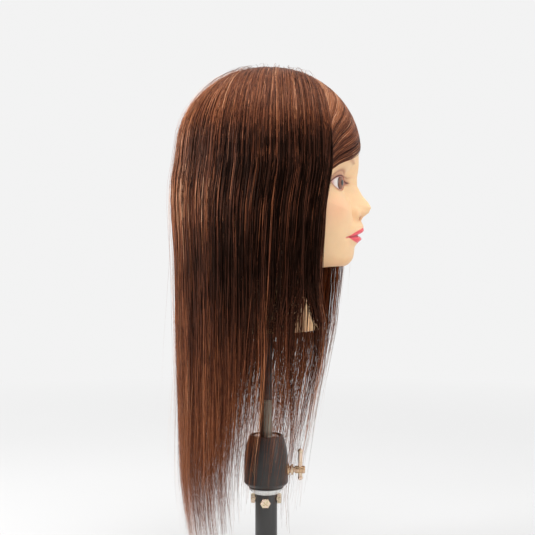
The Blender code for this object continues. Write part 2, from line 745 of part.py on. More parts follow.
def edge_turn(edge):
    """The turn at which the hair's outline is as far ahead as the edge asks at a height."""

    def found(z):
        ahead = read_at(edge, z)[0]
        front = hair_point(0.0, z, 0.0)[1] - HAIR_CENTRE[0]
        return math.acos(min(0.999, (ahead - HAIR_CENTRE[0]) / front))

    return found


def heights(top, bottom, step):
    count = max(1, round((top - bottom) / step))
    return [top + (bottom - top) * i / count for i in range(count + 1)]


def hair():
    top = CROWN_LOW - GAP
    right, left = edge_turn(RIGHT_EDGE), edge_turn(LEFT_EDGE)
    side_heights = heights(top, 455.0, 13.0) + heights(455.0, SIDE_TIPS, 40.0)[1:]
    back_heights = heights(top, 455.0, 13.0) + heights(455.0, BACK_TIPS, 40.0)[1:]
    hair_panel("hair_right", side_heights, lambda z: -BACK_FROM + SLIT_TURN, lambda z: -right(z), 7)
    hair_panel("hair_left", side_heights, left, lambda z: BACK_FROM - SLIT_TURN, 7)
    hair_panel("hair_back", back_heights, lambda z: BACK_FROM, lambda z: 2 * math.pi - BACK_FROM, 11)
    fringe_heights = heights(top, 461.0, 11.0)
    hair_panel(
        "hair_fringe", fringe_heights, lambda z: -right(z) + 5 * SLIT_TURN,
        lambda z: left(z) - 5 * SLIT_TURN, 11,
        lambda z: 2.2 + 3.0 * (z - 461.0) / (top - 461.0),
    )
    crown_rows = []
    turns = [2 * math.pi * i / 30 for i in range(30)]
    rim = math.asin((CROWN_LOW - HAIR_CENTRE[1]) / HAIR[3])
    outer_climbs = [math.radians(86.0) + (rim - math.radians(86.0)) * i / 4 for i in range(5)]
    for climb in outer_climbs:
        z = HAIR_CENTRE[1] + HAIR[3] * math.sin(climb)
        crown_rows.append([hair_point(turn, z, 0.0) for turn in turns])
    inner_up = HAIR[3] - CROWN_DEPTH
    inner_rim = math.asin((CROWN_LOW - HAIR_CENTRE[1]) / inner_up)
    for i in range(5):
        climb = inner_rim + (math.radians(86.0) - inner_rim) * i / 4
        z = HAIR_CENTRE[1] + inner_up * math.sin(climb)
        crown_rows.append([hair_point(turn, z, CROWN_DEPTH) for turn in turns])
    object_from_bmesh("hair_crown", loft(crown_rows), HAIR_FIBRE)


def main():
    column_tube()
    column_end_plug()
    swivel_core()
    bolts()
    thrust_ring()
    retaining_ring()
    swivel_washer()
    barrel()
    base_cap()
    ball_cup()
    thread_bush()
    pressure_pad()
    clamp_screw()
    screw_washer()
    tommy_bar()
    ball()
    stem_tube()
    stem_spindle()
    head()
    neck_base_plate()
    neck_socket()
    hair()


main()
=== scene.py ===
"""Looks of the mannequin training head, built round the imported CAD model: a vinyl face with
glossy eyes, long straight hair and a ball-joint holder. Lengths are in millimetres until a mesh
is made. +Z is up, the face looks along -Y and the head's right side is at -X.
"""

import math

import bpy
import numpy as np
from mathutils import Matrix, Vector


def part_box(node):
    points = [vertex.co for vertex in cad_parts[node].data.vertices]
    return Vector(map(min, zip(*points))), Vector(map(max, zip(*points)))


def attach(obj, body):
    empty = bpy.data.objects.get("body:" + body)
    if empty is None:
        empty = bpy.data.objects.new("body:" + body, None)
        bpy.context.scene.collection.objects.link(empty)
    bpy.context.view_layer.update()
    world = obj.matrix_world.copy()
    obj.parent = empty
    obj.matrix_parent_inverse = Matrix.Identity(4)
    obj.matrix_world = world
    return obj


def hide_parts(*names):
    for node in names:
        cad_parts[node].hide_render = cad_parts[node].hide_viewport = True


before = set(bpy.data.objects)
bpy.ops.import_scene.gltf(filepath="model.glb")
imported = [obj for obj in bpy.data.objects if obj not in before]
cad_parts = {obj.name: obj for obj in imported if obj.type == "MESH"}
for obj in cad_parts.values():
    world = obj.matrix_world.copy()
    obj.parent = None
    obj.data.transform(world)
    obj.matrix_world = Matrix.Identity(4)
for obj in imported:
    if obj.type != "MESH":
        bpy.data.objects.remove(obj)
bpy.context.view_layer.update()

MM = 0.001
BOX = {name: [Vector(corner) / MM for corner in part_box(name)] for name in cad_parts}

# The skull: its centre's reach ahead and height, and its reach to the front, back, side and top.
SKULL_CENTRE = (2.0, 455.0)
SKULL = (96.0, 92.0, 74.5, 83.5)
# Where the head is widest, as reach ahead, and how square its front is at the brow.
WIDEST = -8.0
BROW_POWER = 0.86
# The head from the brow to the base of the neck. A row holds the front's reach and height, the
# half width and its height, the back's reach and height, and how square the front is.
HEAD_RINGS = (
    (98.5, 455.0, 74.5, 455.0, -90.0, 455.0, 0.86),
    (98.5, 440.0, 73.5, 440.0, -91.0, 440.0, 0.86),
    (96.3, 425.0, 72.0, 426.0, -91.5, 426.0, 0.86),
    (95.3, 410.0, 70.0, 412.0, -91.0, 413.0, 0.86),
    (96.0, 395.0, 67.5, 399.0, -89.0, 401.0, 0.88),
    (97.5, 383.0, 65.0, 389.0, -85.0, 392.0, 0.93),
    (98.0, 372.0, 62.0, 380.0, -80.0, 384.0, 1.0),
    (96.5, 360.0, 59.5, 371.0, -74.0, 376.0, 1.1),
    (94.0, 348.0, 57.0, 361.0, -68.0, 366.0, 1.22),
    (91.5, 340.0, 54.5, 353.0, -62.5, 357.0, 1.3),
    (86.0, 334.6, 51.0, 346.0, -58.5, 349.0, 1.3),
    (78.0, 333.6, 49.0, 341.0, -55.5, 342.5, 1.2),
    (66.0, 333.0, 47.5, 336.0, -53.0, 336.0, 1.1),
    (56.0, 330.5, 46.0, 330.0, -51.0, 329.5, 1.0),
    (50.5, 319.0, 45.0, 319.5, -49.0, 319.0, 1.0),
    (47.5, 300.0, 45.0, 300.0, -47.0, 300.0, 1.0),
    (48.5, 284.0, 46.5, 284.0, -46.0, 284.0, 1.0),
    (53.5, 273.0, 50.0, 273.0, -46.5, 273.0, 1.0),
    (57.0, 267.0, 52.0, 267.0, -47.0, 267.0, 1.0),
)
# How far the middle of the face stands in front of the rings, as (height, relief, half width).
FACE_RELIEF = (
    (455.0, 0.5, 30.0),
    (440.0, 0.5, 20.0),
    (428.0, 0.8, 9.0),
    (420.0, 1.8, 8.5),
    (410.0, 7.4, 10.0),
    (402.8, 13.2, 12.5),
    (396.4, 15.9, 15.5),
    (391.0, 13.5, 17.5),
    (386.0, 6.6, 17.0),
    (382.5, 4.6, 20.0),
    (377.0, 6.6, 24.0),
    (373.0, 6.5, 25.0),
    (368.0, 2.6, 25.0),
    (362.5, 3.8, 23.0),
    (356.5, 1.8, 20.0),
    (350.0, 0.4, 18.0),
    (343.0, 0.8, 18.0),
    (335.0, 0.0, 18.0),
)
# Raised and sunk features on both sides, as (relief, out from the middle, half width, height,
# half height): brow ridge, socket, cheekbone, wing of the nose and its groove, nostril, ball of
# the nose, groove above the lip and its ridges, corner of the mouth and the fold over the chin.
FEATURES = (
    (1.2, 26.0, 15.0, 443.0, 6.5),
    (-6.0, 28.0, 13.0, 423.0, 11.0),
    (3.2, 41.0, 15.0, 399.0, 14.0),
    (4.2, 12.6, 3.6, 389.6, 4.4),
    (-1.7, 17.6, 2.0, 390.0, 5.5),
    (-3.6, 6.4, 2.7, 385.2, 1.9),
    (0.9, 0.0, 7.5, 397.5, 5.5),
    (-1.0, 0.0, 2.4, 378.5, 3.4),
    (0.5, 4.4, 1.9, 378.0, 3.6),
    (-1.6, 24.0, 3.0, 365.5, 2.6),
    (-1.5, 0.0, 13.0, 354.5, 3.6),
)
MOUTH_Z = 367.0
MOUTH_HALF = 23.0

# Centre of the left eyeball as out, ahead and up, its radius, and how far it looks outwards.
EYE = (23.1, 65.4, 423.3)
EYE_R = 17.5
GAZE = math.radians(25.0)
IRIS_R = 7.5
PUPIL_R = 2.7
CORNEA = 1.1

# The opening between the lids, as angles round the eyeball's centre.
OPENING_TURN = math.radians(27.0)
OPENING_HALF = math.radians(48.0)
UPPER_CLIMB = math.radians(21.5)
LOWER_CLIMB = math.radians(-23.5)
CORNER_TILT = math.radians(3.0)
SOCKET_CLIMB = math.radians(25.0)
LID_THICKNESS = 1.35
CREASE_AWAY = 4.3

# Columns round the head, the fine rows of the face and the coarser ones of the neck.
FACE_COLUMNS = 372
FACE_STEP = 0.72
NECK_STEP = 2.0
BROW_Z = 455.0
JAW_Z = 332.0
NECK_Z = 267.0
# The neck's rolled rim, as (outwards, up) from its lowest ring.
NECK_RIM = ((-0.4, -0.8), (-1.4, -1.2), (-5.6, -1.2), (-6.8, -0.4), (-7.4, 4.0), (-7.6, 12.0))


# Meshes and materials


def in_scene(name, data):
    obj = bpy.data.objects.new(name, data)
    bpy.context.scene.collection.objects.link(obj)
    return obj


def add_object(name, mesh, material, body, replaced=()):
    """A piece that rides on a body, wears a slot's material and stands for CAD nodes."""
    obj = in_scene(name, mesh)
    mesh.materials.append(material)
    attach(obj, body)
    if replaced:
        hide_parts(*replaced)
    return obj


def mesh_of(name, points, faces):
    """A smooth mesh from an array of points in millimetres and an array of equal-sided faces."""
    sides = faces.shape[1]
    mesh = bpy.data.meshes.new(name)
    mesh.vertices.add(len(points))
    mesh.vertices.foreach_set("co", (points * MM).astype(np.float32).ravel())
    mesh.loops.add(faces.size)
    mesh.loops.foreach_set("vertex_index", faces.astype(np.int32).ravel())
    mesh.polygons.add(len(faces))
    mesh.polygons.foreach_set("loop_start", np.arange(0, faces.size, sides, dtype=np.int32))
    mesh.polygons.foreach_set("loop_total", np.full(len(faces), sides, np.int32))
    mesh.update(calc_edges=True)
    mesh.shade_smooth()
    return mesh


def grid_faces(rows, columns, wrap):
    """Quads over a grid of points, joined round the columns if it wraps."""
    index = np.arange(rows * columns).reshape(rows, columns)
    right = np.roll(index, -1, axis=1) if wrap else index[:, 1:]
    left = index if wrap else index[:, :-1]
    quads = np.stack([left[:-1], left[1:], right[1:], right[:-1]], axis=-1)
    return quads.reshape(-1, 4)


def paint(mesh, name, colours):
    """A colour at each vertex, from linear red, green and blue."""
    layer = mesh.color_attributes.new(name, "FLOAT_COLOR", "POINT")
    rgba = np.ones((len(colours), 4), np.float32)
    rgba[:, :3] = colours
    layer.data.foreach_set("color", rgba.ravel())


class Coat:
    """Colours laid one over another on an array of points."""

    def __init__(self, colour, shape):
        self.tone = np.broadcast_to(colour, shape + (3,)).copy()

    def lay(self, colour, share):
        self.tone += (colour - self.tone) * np.clip(share, 0.0, 1.0)[..., None]


def linear(red, green, blue):
    """Linear colour from 8-bit sRGB."""
    shares = np.array([red, green, blue]) / 255.0
    return np.where(shares <= 0.04045, shares / 12.92, ((shares + 0.055) / 1.055) ** 2.4)


class Finish:
    """A procedural material: a Principled shader and short ways to feed its sockets."""

    def __init__(self, name, colour, roughness, metallic=0.0):
        self.material = bpy.data.materials.new(name)
        self.material.use_nodes = True
        self.tree = self.material.node_tree
        self.shader = self.tree.nodes["Principled BSDF"]
        self.colour = colour
        self.set("Base Color", (*colour, 1.0))
        self.set("Roughness", roughness)
        self.set("Metallic", metallic)

    def set(self, socket, value):
        self.shader.inputs[socket].default_value = value

    def add(self, kind, **values):
        made = self.tree.nodes.new(kind)
        for key, value in values.items():
            setattr(made, key, value)
        return made

    def link(self, source, target):
        self.tree.links.new(source, target)

    def feed(self, socket, source):
        self.link(source, self.shader.inputs[socket])

    def noise(self, scale, detail=3.0, stretch=(1.0, 1.0, 1.0)):
        """Noise in the object's own space; a small stretch value draws it out along that axis."""
        place = self.add("ShaderNodeTexCoord")
        mapping = self.add("ShaderNodeMapping")
        mapping.inputs["Scale"].default_value = stretch
        made = self.add("ShaderNodeTexNoise")
        made.inputs["Scale"].default_value = scale
        made.inputs["Detail"].default_value = detail
        self.link(place.outputs["Object"], mapping.inputs["Vector"])
        self.link(mapping.outputs["Vector"], made.inputs["Vector"])
        return made.outputs["Fac"]

    def spread(self, source, low, high, start=0.3, end=0.7):
        """A value between low and high as the source goes from start to end."""
        made = self.add("ShaderNodeMapRange")
        made.inputs["From Min"].default_value = start
        made.inputs["From Max"].default_value = end
        made.inputs["To Min"].default_value = low
        made.inputs["To Max"].default_value = high
        self.link(source, made.inputs["Value"])
        return made.outputs["Result"]

    def mix(self, share, first, second, kind="MIX"):
        """Two colours mixed by a socket or a number. A colour is a triple or a socket."""
        made = self.add("ShaderNodeMix", data_type="RGBA", blend_type=kind)
        for socket, value in zip((made.inputs[n] for n in (0, 6, 7)), (share, first, second)):
            if isinstance(value, bpy.types.NodeSocket):
                self.link(value, socket)
            elif isinstance(value, (int, float)):
                socket.default_value = value
            else:
                socket.default_value = (*value, 1.0)
        return made.outputs[2]

    def vary(self, other, scale, detail=3.0, stretch=(1.0, 1.0, 1.0), start=0.35, end=0.65):
        """The base colour drifts towards another in patches."""
        share = self.spread(self.noise(scale, detail, stretch), 0.0, 1.0, start, end)
        self.feed("Base Color", self.mix(share, self.colour, other))

    def rough(self, low, high, scale, stretch=(1.0, 1.0, 1.0)):
        self.feed("Roughness", self.spread(self.noise(scale, 4.0, stretch), low, high))

    def bump(self, source, strength, distance):
        made = self.add("ShaderNodeBump")
        made.inputs["Strength"].default_value = strength
        made.inputs["Distance"].default_value = distance
        self.link(source, made.inputs["Height"])
        self.feed("Normal", made.outputs["Normal"])

    def attribute(self, name):
        return self.add("ShaderNodeAttribute", attribute_name=name)


def moulded_black():
    finish = Finish("moulded_black", (0.012, 0.011, 0.0105), 0.36)
    finish.vary((0.02, 0.018, 0.016), 60.0)
    finish.rough(0.3, 0.46, 350.0)
    finish.bump(finish.noise(2600.0, 2.0), 0.12, 0.0001)
    return finish.material


def painted_steel():
    finish = Finish("black_painted_steel", (0.016, 0.015, 0.014), 0.4)
    finish.vary((0.03, 0.027, 0.025), 45.0, 4.0, (1.0, 1.0, 0.25))
    finish.rough(0.28, 0.5, 160.0, (1.0, 1.0, 0.15))
    finish.bump(finish.noise(900.0, 3.0), 0.1, 0.0001)
    finish.set("Coat Weight", 0.3)
    finish.set("Coat Roughness", 0.25)
    return finish.material


def plated_steel():
    finish = Finish("plated_steel", (0.78, 0.77, 0.75), 0.14, 1.0)
    finish.vary((0.62, 0.61, 0.6), 80.0)
    finish.rough(0.08, 0.24, 220.0)
    return finish.material


def olive_tube():
    finish = Finish("olive_tube", (0.23, 0.21, 0.17), 0.3, 0.9)
    finish.vary((0.12, 0.11, 0.09), 70.0, 5.0, (1.0, 1.0, 0.1))
    finish.rough(0.22, 0.42, 300.0, (1.0, 1.0, 0.08))
    finish.bump(finish.noise(1500.0, 2.0, (1.0, 1.0, 0.03)), 0.1, 0.0001)
    return finish.material


def yellow_zinc(name="yellow_zinc", tone=(0.72, 0.62, 0.42), tint=(0.82, 0.62, 0.5)):
    """Passivated zinc: pale gold, drifting towards pink, with a fine brushed grain."""
    finish = Finish(name, tone, 0.26, 1.0)
    finish.vary(tint, 240.0, 3.0)
    finish.rough(0.12, 0.3, 500.0)
    finish.bump(finish.noise(3000.0, 2.0, (1.0, 1.0, 0.2)), 0.08, 0.0001)
    return finish.material


def white_nylon():
    finish = Finish("white_nylon", (0.78, 0.78, 0.77), 0.42)
    finish.vary((0.7, 0.69, 0.66), 90.0)
    finish.rough(0.34, 0.5, 260.0)
    finish.set("Subsurface Weight", 0.2)
    finish.set("Subsurface Radius", (0.003, 0.003, 0.0025))
    finish.set("Subsurface Scale", 0.5)
    return finish.material


def cast_foam():
    finish = Finish("cast_foam", (0.76, 0.68, 0.46), 0.9)
    finish.vary((0.62, 0.54, 0.34), 120.0, 5.0)
    finish.bump(finish.noise(700.0, 4.0), 0.6, 0.0006)
    return finish.material


def vinyl_skin():
    """Soft matt vinyl: painted tone, a slight mottle and a fine skin grain, with glossier lips."""
    finish = Finish("vinyl_skin", (0.8, 0.6, 0.42), 0.42)
    tone = finish.attribute("tone").outputs["Color"]
    mottle = finish.spread(finish.noise(70.0, 5.0), 0.955, 1.0)
    finish.feed("Base Color", finish.mix(1.0, tone, mottle, "MULTIPLY"))
    gloss = finish.attribute("gloss").outputs["Fac"]
    finish.feed("Roughness", finish.spread(gloss, 0.46, 0.16, 0.0, 1.0))
    finish.bump(finish.noise(1900.0, 3.0), 0.1, 0.0001)
    finish.set("Subsurface Weight", 0.22)
    finish.set("Subsurface Radius", (0.006, 0.0028, 0.0015))
    finish.set("Subsurface Scale", 0.6)
    finish.set("Specular IOR Level", 0.4)
    return finish.material


def painted_eye():
    finish = Finish("acrylic_eye", (0.9, 0.88, 0.86), 0.1)
    finish.feed("Base Color", finish.attribute("tone").outputs["Color"])
    finish.rough(0.05, 0.09, 200.0)
    finish.set("Coat Weight", 0.35)
    finish.set("Coat Roughness", 0.03)
    finish.set("Specular IOR Level", 0.35)
    return finish.material


# Head


def smooth_rows(table, at):
    """Rows of a table at places between its rows, through a Catmull-Rom curve."""
    table = np.asarray(table)
    last = len(table) - 1
    i = np.clip(at.astype(int), 0, last - 1)
    f = (at - i)[:, None]
    a, b, c, d = (table[np.clip(i + k, 0, last)] for k in (-1, 0, 1, 2))
    return b + 0.5 * f * (c - a + f * (2 * a - 5 * b + 4 * c - d + f * (3 * (b - c) + d - a)))


def read_column(table, z, column):
    """One column of a table whose first column falls, read straight between its rows."""
    rows = np.asarray(table)[::-1]
    return np.interp(z, rows[:, 0], rows[:, column])


def ring_points(rings, turns, widest):
    """Points of tilted rings: turn is 0 at the front and pi at the back."""
    front, front_z, wide, side_z, back, back_z, power = (rings[:, k, None] for k in range(7))
    c = np.cos(turns)[None]
    s = np.sin(turns)[None]
    ahead = np.where(
        c > 0,
        widest + (front - widest) * np.abs(c) ** power,
        widest - (back - widest) * c,
    )
    level = side_z + np.where(c > 0, front_z - side_z, back_z - side_z) * c * c
    return np.stack([wide * s, -ahead, level], axis=-1)


def bell(value, centre, width):
    return np.exp(-(((value - centre) / width) ** 2))


def ramp(value, start, end):
    """0 before start, 1 after end, and smooth between."""
    t = np.clip((value - start) / (end - start), 0.0, 1.0)
    return t * t * (3.0 - 2.0 * t)


def mouth_line(x):
    """Height of the line between the lips."""
    return MOUTH_Z - 1.3 * (x / MOUTH_HALF) ** 2


def upper_lip(x):
    """Height of the upper lip's edge, with its bow."""
    share = np.clip(1.0 - (np.abs(x) / (MOUTH_HALF + 0.5)) ** 1.9, 0.0, 1.0)
    return mouth_line(x) + 8.4 * share**0.85 - 1.5 * bell(x, 0.0, 2.6)


def lower_lip(x):
    """Height of the lower lip's edge."""
    share = np.clip(1.0 - (np.abs(x) / (MOUTH_HALF - 1.0)) ** 2.0, 0.0, 1.0)
    return mouth_line(x) - 8.2 * share**0.8


def face_relief(x, z):
    """How far the face's features stand in front of the plain rings."""
    side = np.abs(x)
    within = np.clip(1.0 - (side / read_column(FACE_RELIEF, z, 2)) ** 2, 0.0, 1.0)
    lift = read_column(FACE_RELIEF, z, 1) * within**1.5
    for relief, out, half_width, height, half_height in FEATURES:
        lift += relief * bell(side, out, half_width) * bell(z, height, half_height)
    line, upper, lower = mouth_line(x), upper_lip(x), lower_lip(x)
    inside = np.clip(1.0 - (side / (MOUTH_HALF + 1.0)) ** 2, 0.0, 1.0)
    lift -= 2.1 * bell(z, line, 1.15) * inside**0.35
    lift += 1.5 * bell(z, (line + upper) / 2.0, 2.4) * inside**0.7
    lift += 1.9 * bell(z, (line + lower) / 2.0, 2.6) * inside**0.7
    return lift


def eye_angles(points):
    """Where points lie round their side's eyeball: turn outwards, climb and distance."""
    outward = np.abs(points[..., 0]) - EYE[0]
    ahead = -points[..., 1] - EYE[1]
    up = points[..., 2] - EYE[2]
    distance = np.sqrt(outward**2 + ahead**2 + up**2)
    return np.arctan2(outward, ahead), np.arcsin(np.clip(up / distance, -1.0, 1.0)), distance


def lid_distance(turn, climb):
    """How far along the eyeball points lie outside the lids' edge, whether they belong to the
    upper lid, and their share of the way from the opening's middle to its corners."""
    u = (turn - OPENING_TURN) / OPENING_HALF
    level = climb - CORNER_TILT * u
    across = np.clip(1.0 - np.abs(u) ** 2.1, 0.0, 1.0)
    top = UPPER_CLIMB * across**0.92 * (1.0 + 0.06 * u)
    bottom = LOWER_CLIMB * across * (1.0 + 0.12 * u)
    beside = np.clip(np.abs(u) - 1.0, 0.0, None) * OPENING_HALF
    over = np.maximum(level - top, bottom - level)
    away = np.where(np.abs(u) < 1.0, over, np.hypot(beside, level))
    return away * EYE_R, level > 0.5 * (top + bottom), u


def socket_distance(turn, climb):
    """Roughly how far points lie outside an even oval round the lids."""
    u = (turn - OPENING_TURN) / OPENING_HALF
    return 10.0 * (np.hypot(u, (climb - CORNER_TILT * u) / SOCKET_CLIMB) - 1.0)


def set_eyelids(points):
    """Lays the skin over the eyeballs as lids with a crease above, and sinks it in the opening."""
    turn, climb, distance = eye_angles(points)
    away, above, u = lid_distance(turn, climb)
    oval = socket_distance(turn, climb)
    beside_nose = ramp(np.abs(points[..., 0]), 1.0, 18.0)
    follow = (1.0 - ramp(oval, 0.5, 10.5)) * beside_nose
    wanted = distance + (EYE_R + LID_THICKNESS - distance) * follow
    crease = np.where(above, bell(away, CREASE_AWAY, 0.7), 0.0)
    wanted -= 0.7 * crease * np.clip(1.15 - np.abs(u), 0.0, 1.0)
    roll = np.where(above, bell(away, 2.4, 1.2), 0.0)
    wanted += 0.5 * roll * np.clip(1.1 - np.abs(u), 0.0, 1.0)
    sink = 1.0 - ramp(away, -1.5, 0.1)
    wanted = wanted + (EYE_R - 2.6 - wanted) * sink
    facing = -points[..., 1] > 40.0
    wanted = np.where(facing & (oval < 12.0), wanted, distance)
    centre = np.broadcast_to((EYE[0], -EYE[1], EYE[2]), points.shape).copy()
    centre[..., 0] *= np.sign(points[..., 0])
    return centre + (points - centre) * (wanted / distance)[..., None]


SKIN_TONE = linear(236, 198, 154)
# Warm tone painted as shade under the nose, beside its wings and below the jaw.
SKIN_PAINTED_SHADE = linear(224, 170, 122)
# Painted shadow under the chin.
UNDER_CHIN_PAINTED_SHADE = linear(206, 150, 104)
BLUSH = linear(236, 164, 132)
LIP_TONE = linear(230, 88, 98)
LIP_DARK = linear(150, 40, 48)
LID_TONE = linear(184, 122, 100)
LINER_TONE = linear(92, 52, 44)
CREASE_TONE = linear(146, 84, 68)
CORNER_TONE = linear(206, 138, 120)
# Painted shade in the nostrils.
BROW_TONE = linear(176, 122, 90)
NOSTRIL_PAINTED_SHADE = linear(150, 84, 62)
EYE_WHITE = linear(226, 214, 208)
EYE_CORNER = linear(212, 156, 144)
IRIS_TONE = linear(108, 64, 48)
IRIS_STREAK = linear(150, 98, 74)
IRIS_EDGE = linear(66, 46, 44)
PUPIL_TONE = linear(24, 18, 18)


def paint_eyes(coat, points, front):
    """Lids, lash lines, creases and the inner corners' rims."""
    turn, climb, _ = eye_angles(points)
    away, above, u = lid_distance(turn, climb)
    ahead = front * (-points[..., 1] > 45.0)
    near = ahead * ramp(-np.abs(u), -1.15, -0.95)
    corner = front * bell(u, -1.03, 0.12)
    coat.lay(LID_TONE, 0.8 * near * above * (1.0 - ramp(away, 0.8, 7.5)))
    coat.lay(LID_TONE, 0.7 * near * (~above) * (1.0 - ramp(away, 0.3, 2.6)))
    coat.lay(LID_TONE, 0.6 * corner * (1.0 - ramp(away, 0.3, 3.0)))
    coat.lay(CREASE_TONE, 0.6 * near * above * bell(away, CREASE_AWAY, 0.6))
    coat.lay(LINER_TONE, 1.1 * front * above * (np.abs(u) < 1.12) * (1.0 - ramp(away, 0.6, 1.9)))
    coat.lay(LINER_TONE, 0.45 * near * (~above) * (1.0 - ramp(away, 0.2, 0.9)))
    coat.lay(CORNER_TONE, ahead * (1.0 - ramp(away, -0.5, 0.2)))


def paint_brows(coat, side, z, front):
    """Thin arched brows with fine hairs."""
    arch = 443.5 + 7.0 * np.sin(np.clip((side - 15.0) / 44.0, 0.0, 1.0) * 2.3)
    width = 2.5 * ramp(side, 11.0, 18.0) * (1.0 - 0.7 * ramp(side, 34.0, 54.0)) + 0.05
    hairs = 0.8 + 0.2 * np.sin(side * 5.5 + z * 3.0)
    coat.lay(BROW_TONE, 0.8 * hairs * bell(z, arch, width) * front * (side > 11.0) * (side < 56.0))


def paint_mouth(coat, x, ahead, z):
    """Lips with a dark line between them. The lips' share of the surface is returned."""
    side = np.abs(x)
    inside = ramp(ahead, 78.0, 84.0)
    lips = inside * (1.0 - ramp(z, upper_lip(x) - 0.2, upper_lip(x) + 0.9))
    lips *= ramp(z, lower_lip(x) - 0.9, lower_lip(x) + 0.2) * (side < MOUTH_HALF + 1.5)
    coat.lay(LIP_TONE, lips)
    coat.lay(LIP_DARK, 0.9 * lips * bell(z, mouth_line(x), 0.9))
    coat.lay(LIP_TONE, 0.7 * inside * bell(side, 23.5, 1.4) * bell(z, 365.6, 1.0))
    return lips


def skin_paint(points):
    """The painted tone of the face and its gloss, from where each point lies. Besides the makeup,
    shade is painted under the nose, beside its wings, in the nostrils and under the jaw and chin.
    """
    x, ahead, z = points[..., 0], -points[..., 1], points[..., 2]
    side = np.abs(x)
    front = ramp(ahead, 20.0, 60.0)
    coat = Coat(SKIN_TONE, x.shape)
    # Painted shade under the nose and, darker downwards, below the jaw line.
    under_nose_shade = bell(z, 386.0, 6.0) * bell(side, 8.0, 9.0) * front
    coat.lay(SKIN_PAINTED_SHADE, 0.5 * ramp(z, 352.0, 330.0) + 0.35 * under_nose_shade)
    # Painted shadow under the chin, on the top of the neck.
    coat.lay(UNDER_CHIN_PAINTED_SHADE, 0.6 * bell(z, 325.0, 10.0) * ramp(ahead, 10.0, 40.0))
    coat.lay(BLUSH, 0.4 * bell(side, 44.0, 16.0) * bell(z, 396.0, 16.0) * front)
    # Painted shade in the creases beside the nose's wings and under the ball of the nose.
    coat.lay(SKIN_PAINTED_SHADE, 0.6 * bell(side, 17.0, 2.6) * bell(z, 389.5, 6.0) * front)
    coat.lay(SKIN_PAINTED_SHADE, 0.7 * bell(side, 8.0, 7.0) * bell(z, 384.5, 3.0) * (ahead > 88.0))
    paint_eyes(coat, points, front)
    paint_brows(coat, side, z, front)
    lips = paint_mouth(coat, x, ahead, z)
    # Painted shade in the nostrils' hollows.
    nostril = bell(side, 6.4, 2.3) * bell(z, 385.0, 1.7) * (ahead > 92.0)
    coat.lay(NOSTRIL_PAINTED_SHADE, 0.85 * nostril)
    return coat.tone, np.clip(lips, 0.0, 1.0)


def head_turns(count):
    """Turns round the head, closest together over the face."""
    spots = 2.0 * np.arange(count) / count - 1.0
    return math.pi * (0.42 * spots + 0.58 * spots**3)


def dome_rings(climbs):
    """Rings of the skull's ellipsoid at angles above its centre."""
    ahead, z = SKULL_CENTRE
    front, back, wide, high = SKULL
    level = z + high * np.sin(climbs)
    c = np.cos(climbs)
    power = BROW_POWER + (1.0 - BROW_POWER) * climbs / (math.pi / 2.0)
    columns = (ahead + front * c, level, wide * c, level, ahead - back * c, level, power)
    return np.stack(columns, -1)


def neck_rim(lowest):
    """Rings that roll the neck's lower edge inwards and a little way up inside."""
    rings = []
    for outwards, up in NECK_RIM:
        ring = lowest.copy()
        reach = np.hypot(ring[:, 0], ring[:, 1])
        ring[:, :2] *= ((reach + outwards) / reach)[:, None]
        ring[:, 2] += up
        rings.append(ring)
    return np.array(rings)


def head_grid():
    """The skin's points, from the top of the head down to the neck's rim."""
    turns = head_turns(FACE_COLUMNS)
    climbs = np.radians(np.linspace(89.9, 3.0, 30))
    blend = (1.0 - np.cos(climbs))[:, None]
    widest = WIDEST + (SKULL_CENTRE[0] - WIDEST) * blend
    dome = ring_points(dome_rings(climbs), turns, widest)
    fine = np.linspace(0.0, len(HEAD_RINGS) - 1.0, 2000)
    heights = smooth_rows(HEAD_RINGS, fine)[:, 1]
    face_levels = np.arange(BROW_Z, JAW_Z, -FACE_STEP)
    neck_levels = np.arange(JAW_Z - 1.0, NECK_Z, -NECK_STEP)
    levels = np.concatenate([face_levels, neck_levels, [NECK_Z]])
    places = np.interp(-levels, -heights, fine)
    body = ring_points(smooth_rows(HEAD_RINGS, places), turns, WIDEST)
    facing = np.clip(np.cos(turns), 0.0, 1.0)[None] ** 0.5
    relief = face_relief(body[..., 0], body[..., 2]) * ramp(body[..., 2], 330.0, 338.0)
    body[..., 1] -= relief * facing
    body = set_eyelids(body)
    return np.concatenate([dome, body, neck_rim(body[-1])])


def build_head():
    grid = head_grid()
    rows, columns = grid.shape[:2]
    points = grid.reshape(-1, 3)
    mesh = mesh_of("vinyl_head", points, grid_faces(rows, columns, True))
    tone, gloss = skin_paint(points)
    paint(mesh, "tone", tone)
    shine = mesh.attributes.new("gloss", "FLOAT", "POINT")
    shine.data.foreach_set("value", gloss.astype(np.float32))
    add_object("vinyl_head", mesh, vinyl_skin(), "head", ["head_shell"])


def eye_paint(radius, turn):
    """White, iris with streaks and a dark rim, and pupil."""
    coat = Coat(EYE_WHITE, radius.shape)
    iris = 1.0 - ramp(radius, IRIS_R - 0.25, IRIS_R + 0.25)
    streak = 0.5 + 0.3 * np.sin(turn * 23.0) + 0.2 * np.sin(turn * 41.0 + 2.0)
    coat.lay(EYE_CORNER, 0.85 * ramp(radius, 9.5, 14.5))
    coat.lay(IRIS_TONE, iris)
    coat.lay(IRIS_STREAK, iris * streak * bell(radius, 4.6, 1.5))
    coat.lay(IRIS_EDGE, iris * ramp(radius, IRIS_R - 1.3, IRIS_R - 0.2))
    coat.lay(PUPIL_TONE, 1.0 - ramp(radius, PUPIL_R - 0.2, PUPIL_R + 0.35))
    return coat.tone


